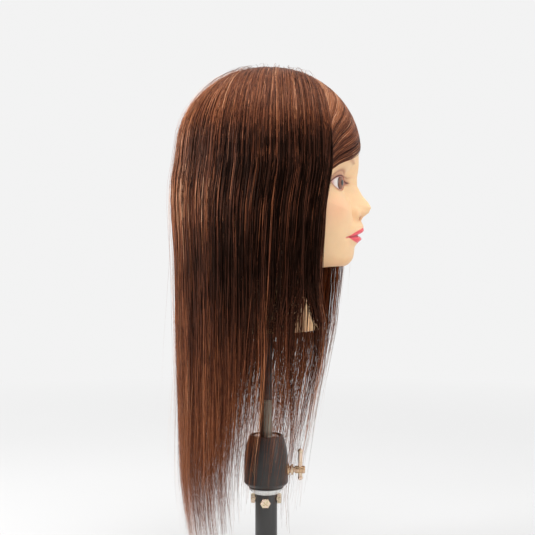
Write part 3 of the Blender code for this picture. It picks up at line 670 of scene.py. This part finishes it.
def build_eye(side, label, material):
    """A glossy cap of the eyeball, with the bulge of its cornea, centred on the iris."""
    rings, columns = 72, 120
    polar, turn = np.meshgrid(
        np.radians(np.linspace(0.3, 80.0, rings)),
        np.linspace(0.0, 2.0 * math.pi, columns, endpoint=False),
        indexing="ij",
    )
    radius = EYE_R * polar
    swell = CORNEA * np.clip(1.0 - (radius / (IRIS_R + 1.2)) ** 2, 0.0, 1.0) ** 1.2
    reach = EYE_R + swell
    across = np.sin(polar) * np.cos(turn) * reach
    along = np.cos(polar) * reach
    up = np.sin(polar) * np.sin(turn) * reach
    outwards = across * math.cos(GAZE) + along * math.sin(GAZE)
    ahead = along * math.cos(GAZE) - across * math.sin(GAZE)
    points = np.stack([side * (EYE[0] + outwards), -(EYE[1] + ahead), EYE[2] + up], -1)
    faces = grid_faces(rings, columns, True)
    if side < 0:
        faces = faces[:, ::-1]
    mesh = mesh_of("eye_" + label, points.reshape(-1, 3), faces)
    paint(mesh, "tone", eye_paint(radius, turn).reshape(-1, 3))
    add_object("eye_" + label, mesh, material, "head", ["eye_insert_" + label])


def build_eyes():
    material = painted_eye()
    build_eye(-1, "right", material)
    build_eye(1, "left", material)


# Hair

# The crown: its centre's reach ahead and height, and its reach to the front, back, side and top.
HAIR_CENTRE = (3.0, 455.0)
HAIR = (98.5, 100.0, 83.0, 92.0)
# Height where the crown's dome ends and the hair falls.
RIM = 455.0
# Hair outline below the brow, as (height, half width, back, thickness).
HAIR_RINGS = (
    (455.0, 83.0, -97.0, 4.0),
    (430.0, 85.0, -102.0, 7.5),
    (410.0, 86.0, -103.0, 8.5),
    (383.0, 86.0, -102.0, 9.0),
    (350.0, 84.0, -99.6, 11.0),
    (297.0, 80.0, -98.5, 12.0),
    (236.0, 76.0, -97.4, 12.0),
    (185.0, 73.0, -96.3, 11.0),
    (141.0, 71.0, -95.3, 10.0),
    (98.0, 69.0, -94.0, 8.0),
    (46.0, 66.0, -87.0, 6.0),
    (32.0, 64.0, -84.0, 5.0),
)
# Front edge of each side's hair, as (height, reach ahead of the axis).
RIGHT_EDGE = (
    (509.0, 73.0),
    (440.0, 73.0),
    (400.0, 67.0),
    (350.0, 64.0),
    (300.0, 63.0),
    (240.0, 61.0),
    (160.0, 54.0),
    (88.0, 42.0),
)
LEFT_EDGE = (
    (509.0, 73.0),
    (440.0, 77.0),
    (400.0, 82.0),
    (331.0, 85.0),
    (262.0, 79.0),
    (160.0, 59.0),
    (88.0, 42.0),
)
EDGES = {-1: RIGHT_EDGE, 1: LEFT_EDGE}
# Where the strands over a side's rim start: turn at the rim in degrees, and the root's reach ahead.
ROOTS = {
    -1: ((44.0, 40.0), (90.0, 6.0), (125.0, -12.0), (180.0, -22.0)),
    1: ((40.0, 72.0), (90.0, 12.0), (125.0, -12.0), (180.0, -22.0)),
}
# Where the part and the whorl behind it lie, and where the whorl begins and ends, in degrees.
PART_X = 23.0
WHORL_X = 9.0
WHORL_TURNS = (110.0, 180.0)
# How deep strands lie at their roots and, at most, over the dome.
ROOT_DEPTH = 7.6
DOME_DEPTH = 4.6
DOME_POINTS = 9
FALL_POINTS = 15
FRINGE_POINTS = 26
# Locks from a side's front edge to the middle of the back, and how far out they hang.
CLUMPS = 120
SWAY_RADIUS = 85.0
# Hair colours from near black to tan. Besides the hair's own mix of tones, the lighter ones serve
# as painted highlights and painted backlight, the darker ones as painted shade.
SHADES = (
    (12, 3, 1),
    (31, 11, 4),
    (60, 25, 10),
    (96, 46, 22),
    (134, 73, 39),
    (172, 106, 66),
    (208, 150, 110),
)
# Where the right side's hair parts over the neck: its middle and half width by a strand's place,
# how far it pushes its neighbours, and the heights where it closes, is widest and opens.
GAP_PLACE = 0.09
GAP_HALF = 0.08
GAP_SPREAD = 0.22
GAP_HEIGHTS = (150.0, 262.0, 270.0, 318.0)
# Heights where strands end, from the lowest share of them up to all. A column is a strand's place
# between the front edge and the back.
END_PLACES = (0.0, 0.35, 0.47, 0.62, 1.0)
END_SHARES = (0.0, 0.1, 0.25, 0.5, 0.75, 1.0)
END_HEIGHTS = (
    (92.0, 84.0, 36.0, 12.0, 18.0),
    (178.0, 138.0, 74.0, 40.0, 52.0),
    (256.0, 208.0, 116.0, 66.0, 82.0),
    (305.0, 285.0, 185.0, 108.0, 120.0),
    (330.0, 310.0, 250.0, 158.0, 160.0),
    (365.0, 345.0, 305.0, 250.0, 240.0),
)
LOWEST_TIP = 3.0
# How a side's ends differ from those heights: how far they rise at the front edge, how far they
# dip further back, and the place and half width of that dip.
END_SHIFTS = {-1: (0.0, 25.0, 0.1, 0.08), 1: (45.0, 55.0, 0.2, 0.09)}
# The swept fringe's lower and upper edges as (x, height), from the part to behind the right hair.
FRINGE_LOW = (
    (23.0, 494.0),
    (11.0, 474.0),
    (-8.0, 459.5),
    (-30.0, 450.5),
    (-50.0, 442.0),
    (-66.0, 424.0),
    (-72.0, 392.0),
    (-73.0, 330.0),
)
FRINGE_HIGH = (
    (23.0, 539.0),
    (5.0, 539.0),
    (-15.0, 532.0),
    (-35.0, 516.0),
    (-50.0, 494.0),
    (-60.0, 462.0),
    (-67.0, 410.0),
    (-70.0, 340.0),
)
# A group's name, its outer and inner strands, how much lighter the inner ones are (painted shade
# inside the hair where below zero, painted backlight on the far left side where above), its side,
# its places from and to, and the CAD nodes it stands for.
GROUPS = (
    ("right", 2100, 1050, -0.4, -1, 0.0, 0.58, ["hair_right"]),
    ("left", 2100, 1700, 0.6, 1, 0.0, 0.58, ["hair_left"]),
    ("back_right", 1700, 850, -0.4, -1, 0.54, 1.0, ["hair_back", "hair_crown"]),
    ("back_left", 1700, 850, -0.4, 1, 0.54, 1.0, []),
)
WEFTS = 260
WEFT_ENDS = (340.0, 230.0)
FLYAWAYS = 60
FRINGE_STRANDS = 1900


def hair_shades():
    """Brown fibre from near black to tan; each strand wears one or two of these shades. The lighter
    ones also serve as painted highlights and painted backlight, the darker ones as painted shade.
    """
    made = []
    for number, shade in enumerate(SHADES):
        finish = Finish("hair_shade_%d" % number, linear(*shade), 0.56 - 0.04 * number)
        finish.set("Specular IOR Level", 0.04 + 0.08 * number)
        finish.set("Specular Tint", (1.0, 0.74 + 0.025 * number, 0.58 + 0.035 * number, 1.0))
        made.append(finish.material)
    return made


def hair_points(turn, z, depth):
    """Points of the hair at these heights, some way in from its outer face, as x, ahead."""
    centre = HAIR_CENTRE[0]
    share = np.clip(z - HAIR_CENTRE[1], 0.0, None) / (HAIR[3] - depth)
    level = np.sqrt(np.clip(1.0 - share**2, 0.0, 1.0))
    front = (HAIR[0] - depth) * level
    back = np.where(z >= RIM, HAIR[1] * level, centre - read_column(HAIR_RINGS, z, 2)) - depth
    wide = np.where(z >= RIM, HAIR[2] * level, read_column(HAIR_RINGS, z, 1)) - depth
    c = np.cos(turn)
    return wide * np.sin(turn), centre + np.where(c > 0, front, back) * c


def edge_turn(side, z):
    """The turn of a side's front edge at these heights."""
    ahead = read_column(EDGES[side], z, 1)
    reach = hair_points(np.zeros_like(z), z, 0.0)[1] - HAIR_CENTRE[0]
    return np.arccos(np.clip((ahead - HAIR_CENTRE[0]) / reach, -1.0, 0.999))


def on_dome(x, ahead, depth):
    """Height of the crown's surface over a place in plan."""
    reach = np.where(ahead > HAIR_CENTRE[0], HAIR[0], HAIR[1]) - depth
    share = (x / (HAIR[2] - depth)) ** 2 + ((ahead - HAIR_CENTRE[0]) / reach) ** 2
    return RIM + (HAIR[3] - depth) * np.sqrt(np.clip(1.0 - share, 0.0, 1.0))


def outward(points):
    """Unit directions out of the hair's surface."""
    x, ahead, z = points[..., 0], -points[..., 1], points[..., 2]
    way = np.stack(
        [
            x / HAIR[2] ** 2,
            -(ahead - HAIR_CENTRE[0]) / HAIR[0] ** 2,
            np.clip(z - RIM, 0.0, None) / HAIR[3] ** 2,
        ],
        -1,
    )
    return way / np.linalg.norm(way, axis=-1, keepdims=True)


def strand_ends(rng, place):
    """How low each strand reaches."""
    heights = np.stack([np.interp(place, END_PLACES, row) for row in END_HEIGHTS])
    share = np.interp(rng.random(place.size), END_SHARES, np.arange(len(heights)))
    below = np.minimum(share.astype(int), len(heights) - 2)
    at = np.arange(place.size)
    return heights[below, at] + (heights[below + 1, at] - heights[below, at]) * (share - below)


def part_over_neck(rng, spot, z):
    """Moves strands away from a gap that opens downwards and closes again below the neck."""
    bottom, wide_from, wide_to, top = GAP_HEIGHTS
    off = spot - GAP_PLACE
    z = z + rng.normal(0.0, 5.0, (len(spot), 1))
    half = GAP_HALF * ramp(z, bottom, wide_from) * (1.0 - ramp(z, wide_to, top))
    half = half * rng.uniform(0.6, 1.0, (len(spot), 1))
    half = half * (rng.random((len(spot), 1)) < np.where(off[:, :1] < 0.0, 0.85, 0.6))
    moved = np.sign(off) * (half + np.abs(off) * (1.0 - half / GAP_SPREAD))
    return GAP_PLACE + np.where(np.abs(off) < GAP_SPREAD, moved, off)


def dome_part(rng, place, deep, side):
    """The strands' way over the dome, from the part or the whorl to the rim."""
    count = place.size
    rim_turn = edge_turn(side, np.full(count, RIM))
    rim_turn = rim_turn + (math.pi - rim_turn) * place
    degrees = np.degrees(rim_turn)
    roots = np.asarray(ROOTS[side])
    root_ahead = np.interp(degrees, roots[:, 0], roots[:, 1]) + rng.normal(0.0, 1.6, count)
    root_x = np.interp(degrees, WHORL_TURNS, (PART_X + 0.7 * side, WHORL_X))
    root_x = root_x + rng.normal(0.0, 0.35, count)
    start = np.clip(deep**0.8 * rng.uniform(0.2, 0.9, count), 0.0, 0.8)[:, None]
    last_angle = np.radians(rng.uniform(66.0, 86.0, (count, 1)))
    along = start + (1.0 - start) * np.sin(np.linspace(0.0, 1.0, DOME_POINTS) * last_angle)
    sunk = deep[:, None] * DOME_DEPTH - ROOT_DEPTH
    depth = ROOT_DEPTH + sunk * ramp(along - start, 0.0, 0.13)
    depth += 0.5 * np.sin(along * 9.0 + rng.uniform(0, 6.28, (count, 1))) * along
    rim_x, rim_ahead = hair_points(side * rim_turn[:, None], np.full((count, 1), RIM), depth)
    x = root_x[:, None] + (rim_x - root_x[:, None]) * along
    ahead = root_ahead[:, None] + (rim_ahead - root_ahead[:, None]) * along
    ahead = ahead + rng.normal(0.0, 1.3, (count, 1)) * np.sin(along * math.pi)
    return np.stack([x, -ahead, on_dome(x, ahead, depth)], -1)


def side_ends(rng, place, side, ends):
    """How low a side's strands reach; fixed ends are given for the edge and the back."""
    rise, dip, dip_place, dip_width = END_SHIFTS[side]
    low = strand_ends(rng, place) if ends is None else np.interp(place, (0.3, 0.8), ends)
    low = low + rng.normal(0.0, 9.0, place.size) + rise * (1.0 - ramp(place, 0.0, 0.1))
    return np.maximum(low - dip * bell(place, dip_place, dip_width), LOWEST_TIP)


def gathered(rng, place, clump, sunk):
    """Places that draw towards the middles of their locks on the way down."""
    pull = 0.5 * ramp(sunk, 0.3, 1.1) * rng.uniform(0.0, 1.0, (place.size, 1))
    return np.clip(place[:, None] + (clump / CLUMPS - place)[:, None] * pull, 0.0, 1.0)


def waves(rng, z, sunk, phase):
    """Sideways sway of each lock and of each strand, and of a few loose strands; in millimetres."""
    count = len(z)
    sway = (0.2 + 1.5 * sunk**1.5) * np.sin(z / 45.0 + phase)
    length = rng.uniform(22.0, 45.0, (count, 1))
    sway += (0.3 + 1.5 * sunk) * np.sin(z / length + rng.uniform(0, 6.28, (count, 1)))
    loose = (rng.random(count) < 0.07)[:, None]
    return sway, loose * rng.normal(0.0, 7.0, (count, 1)) * sunk**1.6


def fall_part(rng, place, deep, side, ends):
    """The strands' way down from the rim, gathered into locks that part over the neck."""
    count = place.size
    low = side_ends(rng, place, side, ends)[:, None]
    share = np.linspace(0.0, 1.0, FALL_POINTS) ** rng.uniform(0.9, 1.3, (count, 1))
    top = RIM - rng.uniform(0.0, 14.0, (count, 1))
    z = top + (low - top) * share
    sunk = np.clip((RIM - z) / (RIM - 90.0), 0.0, 1.2)
    clump = np.round(place * CLUMPS)
    phase = (clump * 2.4)[:, None]
    spot = gathered(rng, place, clump, sunk)
    if side < 0:
        spot = part_over_neck(rng, spot, z)
    sway, stray = waves(rng, z, sunk, phase)
    edge = edge_turn(side, z)
    turn = edge + (math.pi - edge) * spot + (sway + stray) / SWAY_RADIUS
    depth = deep[:, None] * read_column(HAIR_RINGS, z, 3)
    depth += 0.8 * np.sin(z / 25.0 + phase * 1.7) * sunk
    depth -= np.abs(stray) * 0.5
    x, ahead = hair_points(side * turn, z, depth)
    return np.stack([x, -ahead, z], -1)


def side_paths(rng, count, side, low, high, layer=(0.0, 1.0), ends=None):
    """Strands that cross the dome from the part to a side's rim and fall from there.

    A strand's place runs from 0 at the side's front edge to 1 at the middle of the back.
    """
    place = np.sort(rng.uniform(low, high, count))
    deep = rng.uniform(*layer, count)
    dome = dome_part(rng, place, deep, side)
    fall = fall_part(rng, place, deep, side, ends)
    return np.concatenate([dome, fall], axis=1), place


def fringe_paths(rng, count):
    """Strands from the front of the part, over the forehead and in behind the right hair."""
    share = np.sort(rng.uniform(0.0, 1.0, count) ** 0.9)
    deep = rng.uniform(0.0, 1.0, count)
    steps = np.linspace(0.0, len(FRINGE_LOW) - 1.0, FRINGE_POINTS)
    low = smooth_rows(FRINGE_LOW, steps)[None]
    high = smooth_rows(FRINGE_HIGH, steps)[None]
    flat = low + (high - low) * share[:, None, None]
    x, z = flat[..., 0], flat[..., 1]
    along = steps / steps[-1]
    z = z + rng.normal(0.0, 0.8, (count, 1)) * np.sin(along * 5.0)
    z = z + rng.normal(0.0, 1.0, (count, 1)) * along
    depth = deep[:, None] * (1.2 + 3.0 * share[:, None]) + 3.4 * ramp(along, 0.35, 0.6)
    depth = depth + 3.0 * (1.0 - ramp(along, 0.0, 0.08))
    up = np.clip(z - RIM, 0.0, None) / (HAIR[3] - depth)
    wide = np.where(z >= RIM, HAIR[2], read_column(HAIR_RINGS, z, 1)) - depth
    rest = np.clip(1.0 - (x / wide) ** 2 - up**2, 0.002, 1.0)
    ahead = HAIR_CENTRE[0] + (HAIR[0] - depth) * np.sqrt(rest)
    return np.stack([x, -ahead, z], -1), 0.3 * share


def hair_level(rng, paths, place):
    """Which shade each step of each strand takes: the hair's own mix of tones with light and shade
    painted in.

    Strands get a painted highlight on the crown and painted shade in a band just below it, a
    painted highlight band with brighter streaks at eye height, painted light on the back edge and
    at the front edge low down, and painted backlight towards the tips and on the left side's front
    strands below the chin. Painted shade makes them darkest behind the front edge of the right
    side.
    """
    place = place[:, None]
    height = 0.5 * (paths[:, 1:, 2] + paths[:, :-1, 2]) + rng.normal(0.0, 11.0, place.shape)
    right = paths[:, -1:, 0] < 0.0
    # Painted highlight streaks: the strands' spread of tones widens in the band at eye height.
    band = 1.0 + 0.8 * bell(height, 405.0, 30.0)
    shade_below_crown = bell(height, 455.0, 16.0) * (1.0 - ramp(place, 0.6, 0.9))
    temple_shade = ramp(-height, -470.0, -430.0) * (1.0 - ramp(-height, -370.0, -240.0))
    behind = ramp(place, 0.6, 0.95)
    level = 1.6 + 0.15 * np.sin(place * 70.0) + 0.15 * np.sin(place * 23.0 + 1.0)
    level = level + rng.normal(0.0, 0.85, place.shape) * band
    # Painted highlight on the crown, painted shade just below it.
    level += 1.5 * ramp(height, 465.0, 510.0) - 0.6 * shade_below_crown
    # Painted highlight band at eye height.
    level += 1.0 * bell(height, 405.0, 28.0) * ramp(place, 0.22, 0.45)
    # Painted shade beside the face, deeper on the right side.
    level -= np.where(right, 1.3, 0.4) * (1.0 - ramp(place, 0.45, 0.75)) * temple_shade
    # Painted light on the back edge, painted backlight towards the tips.
    level += 1.5 * behind + (1.5 - 0.6 * behind) * ramp(-height, -310.0, -150.0)
    # Painted light on the front edge low down.
    level += 1.3 * (1.0 - ramp(place, 0.0, 0.05)) * ramp(-height, -440.0, -390.0)
    # Painted backlight on the left side's front strands below the chin.
    backlight_below_chin = (1.0 - ramp(place, 0.2, 0.45)) * ramp(-height, -390.0, -330.0)
    level += np.where(right, 0.0, 1.0) * backlight_below_chin
    return level + rng.normal(0.0, 0.3, level.shape)


def unit(vectors):
    return vectors / (np.linalg.norm(vectors, axis=-1, keepdims=True) + 1e-9)


def rolled_frames(rng, paths):
    """Directions across and out of each strand, rolled a little and twisting along it."""
    count, steps = paths.shape[:2]
    tangent = unit(np.gradient(paths, axis=1))
    across = unit(np.cross(tangent, outward(paths)))
    normal = np.cross(across, tangent)
    roll = rng.normal(0.0, 0.38, (count, 1, 1))
    twist = np.linspace(0, 5, steps)[None, :, None] + rng.uniform(0, 6.28, (count, 1, 1))
    roll = roll + 0.25 * np.sin(twist)
    c, s = np.cos(roll), np.sin(roll)
    return across * c + normal * s, normal * c - across * s


def ribbons(name, rng, paths, place, width, slots, replaced=(), taper=0.62, lift=0.3, shift=0.0):
    """Fine V-shaped ribbons along paths, in shades that change with strand, lock and height."""
    count, steps = paths.shape[:2]
    across, normal = rolled_frames(rng, paths)
    along = np.linspace(0.0, 1.0, steps)[None, :, None]
    half = 0.5 * rng.uniform(*width, (count, 1, 1)) * (1.0 - 0.88 * ramp(along, taper, 1.0))
    half = half * (0.35 + 0.65 * ramp(along, 0.0, 0.06))
    ridge = paths + normal * half * 2.0 * lift
    points = np.stack([paths - across * half, ridge, paths + across * half], axis=2)
    base = np.arange(count * steps * 3).reshape(count, steps, 3)
    corners = (base[:, :-1, :-1], base[:, 1:, :-1], base[:, 1:, 1:], base[:, :-1, 1:])
    quads = np.stack(corners, -1)
    mesh = mesh_of(name, points.reshape(-1, 3), quads.reshape(-1, 4))
    obj = add_object(name, mesh, slots[0], "head", replaced)
    for material in slots[1:]:
        mesh.materials.append(material)
    level = np.round(hair_level(rng, paths, place) + shift)
    shade = np.clip(level, 0, len(slots) - 1).astype(np.int32)
    mesh.polygons.foreach_set("material_index", np.repeat(shade.reshape(-1), 2))
    return obj


def strays(rng, paths):
    """Lifts strands off the surface in long shallow loops, with loose ends."""
    count, steps = paths.shape[:2]
    along = np.linspace(0.0, 1.0, steps)[None, :, None]
    turns = along * rng.uniform(2.5, 8.0, (count, 1, 1))
    loops = np.sin(turns + rng.uniform(0.0, 3.0, (count, 1, 1)))
    lifted = paths + outward(paths) * rng.uniform(1.0, 5.5, (count, 1, 1)) * loops**2
    lifted[..., :2] += rng.normal(0.0, 6.0, (count, 1, 2)) * along**3
    return lifted


def build_group(rng, slots, name, outer, inner, lighter, side, low, high, replaced):
    """One region of hair: outer strands, inner ones, wide wefts beneath and loose flyaways."""
    paths, place = side_paths(rng, outer, side, low, high, (0.0, 0.55))
    ribbons("strands_" + name, rng, paths, place, (0.3, 0.75), slots, replaced)
    # Inner strands: their shift darkens them as painted shade inside the hair, or lightens them as
    # painted backlight on the left side.
    paths, place = side_paths(rng, inner, side, low, high, (0.35, 1.0))
    ribbons("under_" + name, rng, paths, place, (0.5, 1.0), slots, shift=lighter)
    wefts = int(WEFTS * (high - low))
    paths, place = side_paths(rng, wefts, side, low, high, (0.8, 1.0), WEFT_ENDS)
    # The wefts beneath are darker still: painted shade.
    weft_painted_shade = lighter - 1.0
    ribbons("wefts_" + name, rng, paths, place, (4.0, 7.0), slots, lift=0.12, shift=weft_painted_shade)
    paths, place = side_paths(rng, FLYAWAYS, side, low, high, (0.0, 0.1))
    paths = strays(rng, paths)
    ribbons("flyaways_" + name, rng, paths, place, (0.22, 0.4), slots, shift=0.7)


def build_hair():
    rng = np.random.default_rng(7)
    slots = hair_shades()
    for group in GROUPS:
        build_group(rng, slots, *group)
    paths, place = fringe_paths(rng, FRINGE_STRANDS)
    wide = (0.25, 0.6)
    node = ["hair_fringe"]
    # The fringe's shift lightens it: painted light from the front.
    ribbons("strands_fringe", rng, paths, place, wide, slots, node, taper=0.85, shift=1.3)


# Holder

BALL_Z = 136.3
BALL_R = 18.4
TURN_STEPS = 96
# Outlines as (radius, height), each closed on the piece's hidden inside.
BARREL = (
    (18.8, 100.0),
    (18.8, 94.1),
    (20.0, 94.1),
    (23.6, 97.6),
    (24.0, 98.6),
    (24.0, 118.0),
    (23.3, 129.8),
    (21.9, 138.6),
    (19.9, 145.0),
    (18.0, 149.4),
    (17.4, 150.0),
    (16.2, 150.0),
    (17.6, 144.0),
    (18.6, 140.0),
    (19.0, 136.0),
)
COLUMN_BORE = 10.2
COLUMN_R = 12.0
SPIGOT_R = 7.6


def rounded(profile, radius, steps=3):
    """The profile with each inner corner turned into a short curve."""
    points = [np.array(p, float) for p in profile]
    made = [points[0]]
    for before, corner, after in zip(points, points[1:], points[2:]):
        back, on = before - corner, after - corner
        reach = min(radius, 0.45 * np.linalg.norm(back), 0.45 * np.linalg.norm(on))
        start = corner + back / np.linalg.norm(back) * reach
        end = corner + on / np.linalg.norm(on) * reach
        for i in range(steps + 1):
            t = i / steps
            made.append((1 - t) ** 2 * start + 2 * t * (1 - t) * corner + t**2 * end)
    made.append(points[-1])
    return [(float(r), float(z)) for r, z in made]


def arc(centre_z, radius, start_z, end_z, steps):
    """Points of a circle round (0, centre_z) from one height to another, as (radius, height)."""
    start = math.asin(max(-1.0, min(1.0, (start_z - centre_z) / radius)))
    end = math.asin(max(-1.0, min(1.0, (end_z - centre_z) / radius)))
    angles = [start + (end - start) * i / steps for i in range(steps + 1)]
    return [(radius * math.cos(a), centre_z + radius * math.sin(a)) for a in angles]


def turned(name, profile, material, body, replaced):
    """A piece turned about Z that stands for a CAD node."""
    turns = np.linspace(0.0, 2.0 * math.pi, TURN_STEPS, endpoint=False)
    rows = np.array(profile)
    radius = np.maximum(rows[:, 0], 0.02)[:, None]
    height = rows[:, 1, None] * np.ones_like(turns)
    points = np.stack([radius * np.cos(turns), radius * np.sin(turns), height], -1)
    mesh = mesh_of(name, points.reshape(-1, 3), grid_faces(len(rows), TURN_STEPS, True))
    mesh.set_sharp_from_angle(angle=math.radians(40.0))
    add_object(name, mesh, material, body, [replaced])


def wear(material, *names):
    """CAD nodes that keep their mesh take a procedural material."""
    for name in names:
        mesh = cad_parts[name].data
        mesh.materials.clear()
        mesh.materials.append(material)


def build_column(steel, nylon):
    """The open tube and the thrust ring on its top."""
    bore, out, top = COLUMN_BORE, COLUMN_R, BOX["column_tube"][1].z
    profile = [(bore, 70.0), (bore, top), (out, top), (out, 0.0), (bore, 0.0), (bore, 14.0)]
    profile = rounded(profile, 0.5)
    turned("column_tube_painted", profile, steel, "column", "column_tube")
    low, high = (corner.z for corner in BOX["thrust_ring"])
    bore = SPIGOT_R
    profile = [(bore, low), (bore, high), (18.7, high), (18.7, 90.6), (13.3, low), (bore, low)]
    profile = rounded(profile, 0.5)
    turned("thrust_ring_nylon", profile, nylon, "column", "thrust_ring")


def build_barrel(black):
    """The bellied barrel and its base cap, with a thin groove between them."""
    profile = rounded(BARREL, 2.4, 4)[::-1]
    turned("barrel_moulded", profile, black, "barrel", "barrel")
    low, high = (corner.z for corner in BOX["base_cap"])
    profile = [(SPIGOT_R, high), (SPIGOT_R, low), (18.5, low), (19.0, 92.8), (19.0, 93.8)]
    profile = rounded(profile + [(18.4, 93.8), (18.4, high)], 0.3)
    turned("base_cap_moulded", profile, black, "barrel", "base_cap")


def build_stem(chrome, olive):
    """The ball with its short neck, and the tube that stands on it."""
    bottom = BALL_Z - BALL_R
    profile = [(0.0, bottom)] + arc(BALL_Z, BALL_R, bottom, 149.0, 40)[1:]
    profile += [(12.4, 149.5), (7.1, 149.5), (7.1, 140.0)]
    turned("ball_plated", profile, chrome, "stem", "ball")
    top = BOX["stem_tube"][1].z
    profile = [(6.8, 127.0), (6.8, top - 3.0), (7.1, top - 2.5), (7.1, top)]
    profile = rounded(profile + [(5.5, top), (5.5, top - 20.0)], 0.3)
    turned("stem_tube_olive", profile, olive, "stem", "stem_tube")


def build_holder():
    black, chrome, nylon = moulded_black(), plated_steel(), white_nylon()
    zinc = yellow_zinc()
    brass = yellow_zinc("brass", (0.62, 0.42, 0.22), (0.7, 0.5, 0.36))
    build_column(painted_steel(), nylon)
    build_barrel(black)
    build_stem(chrome, olive_tube())
    wear(black, "stem_spindle", "column_end_plug")
    wear(zinc, "bolt_right", "bolt_left", "bolt_front", "bolt_back")
    wear(zinc, "screw_washer", "tommy_bar", "bar_end_upper", "bar_end_lower")
    wear(brass, "clamp_screw", "thread_bush", "swivel_washer", "pressure_pad")
    wear(chrome, "swivel_core", "retaining_ring")
    wear(nylon, "ball_cup", "neck_socket", "neck_base_plate")
    wear(cast_foam(), "foam_core")


# Camera, light and floor

BACKDROP = (0.895, 0.895, 0.895)
FLOOR_REACH = 12.0
HEAD_MIDDLE = (0.0, 0.0, 0.43)
HAIR_MIDDLE = (0.0, 0.05, 0.35)
# Disc lights as (name, place, target, size, watts), in metres.
LIGHTS = (
    ("top_softbox", (-0.35, -0.2, 1.75), HEAD_MIDDLE, 1.2, 13.5),
    ("face_softbox", (-0.9, -1.5, 0.8), HEAD_MIDDLE, 0.9, 3.8),
    ("low_softbox", (-0.8, -1.3, 0.12), HEAD_MIDDLE, 0.3, 0.7),
    ("back_softbox", (-0.6, 1.6, 0.75), HAIR_MIDDLE, 0.9, 26.0),
)
CAMERA_TARGET = Vector((0.0, -0.0014, 0.332))
CAMERA_TURN = math.radians(3.5)
CAMERA_DISTANCE = 1.447
CAMERA_RISE = 0.0886
CAMERA_LENS = 90.4


def aimed(name, data, place, way):
    """A light or camera at a place, looking a given way."""
    obj = in_scene(name, data)
    obj.location = place
    obj.rotation_euler = way.to_track_quat("-Z", "Y").to_euler()
    return obj


def area_light(name, place, target, size, power):
    data = bpy.data.lights.new(name, "AREA")
    data.shape = "DISK"
    data.size = size
    data.energy = power
    aimed(name, data, place, Vector(target) - Vector(place))


def pale_floor():
    """Matt floor that takes the backdrop's brightness further out, so that no horizon shows."""
    finish = Finish("pale_floor", (0.66, 0.66, 0.66), 0.7)
    finish.vary((0.645, 0.645, 0.645), 1.5)
    glow = finish.add("ShaderNodeEmission")
    glow.inputs["Color"].default_value = (*BACKDROP, 1.0)
    place = finish.add("ShaderNodeTexCoord")
    length = finish.add("ShaderNodeVectorMath", operation="LENGTH")
    finish.link(place.outputs["Object"], length.inputs[0])
    share = finish.spread(length.outputs["Value"], 0.0, 1.0, 0.25, 1.5)
    mixed = finish.add("ShaderNodeMixShader")
    finish.link(share, mixed.inputs["Fac"])
    finish.link(finish.shader.outputs["BSDF"], mixed.inputs[1])
    finish.link(glow.outputs["Emission"], mixed.inputs[2])
    finish.link(mixed.outputs["Shader"], finish.tree.nodes["Material Output"].inputs["Surface"])
    return finish.material


def build_floor():
    mesh = bpy.data.meshes.new("floor")
    r = FLOOR_REACH
    mesh.from_pydata([(-r, -r, 0), (r, -r, 0), (r, r, 0), (-r, r, 0)], [], [(0, 1, 2, 3)])
    mesh.materials.append(pale_floor())
    in_scene("floor", mesh)


def build_studio():
    scene = bpy.context.scene
    scene.view_settings.view_transform = "Standard"
    scene.world = bpy.data.worlds.new("pale_studio")
    scene.world.use_nodes = True
    backdrop = scene.world.node_tree.nodes["Background"]
    backdrop.inputs["Color"].default_value = (*BACKDROP, 1.0)
    build_floor()
    for light in LIGHTS:
        area_light(*light)


def build_camera():
    data = bpy.data.cameras.new("camera")
    data.lens = CAMERA_LENS
    data.sensor_width = 36.0
    data.clip_start = 0.05
    c, s = math.cos(CAMERA_TURN), math.sin(CAMERA_TURN)
    offset = Vector((-CAMERA_DISTANCE * c, -CAMERA_DISTANCE * s, CAMERA_RISE))
    bpy.context.scene.camera = aimed("camera", data, CAMERA_TARGET + offset, -offset)


build_camera()
build_studio()
build_holder()
build_head()
build_eyes()
build_hair()
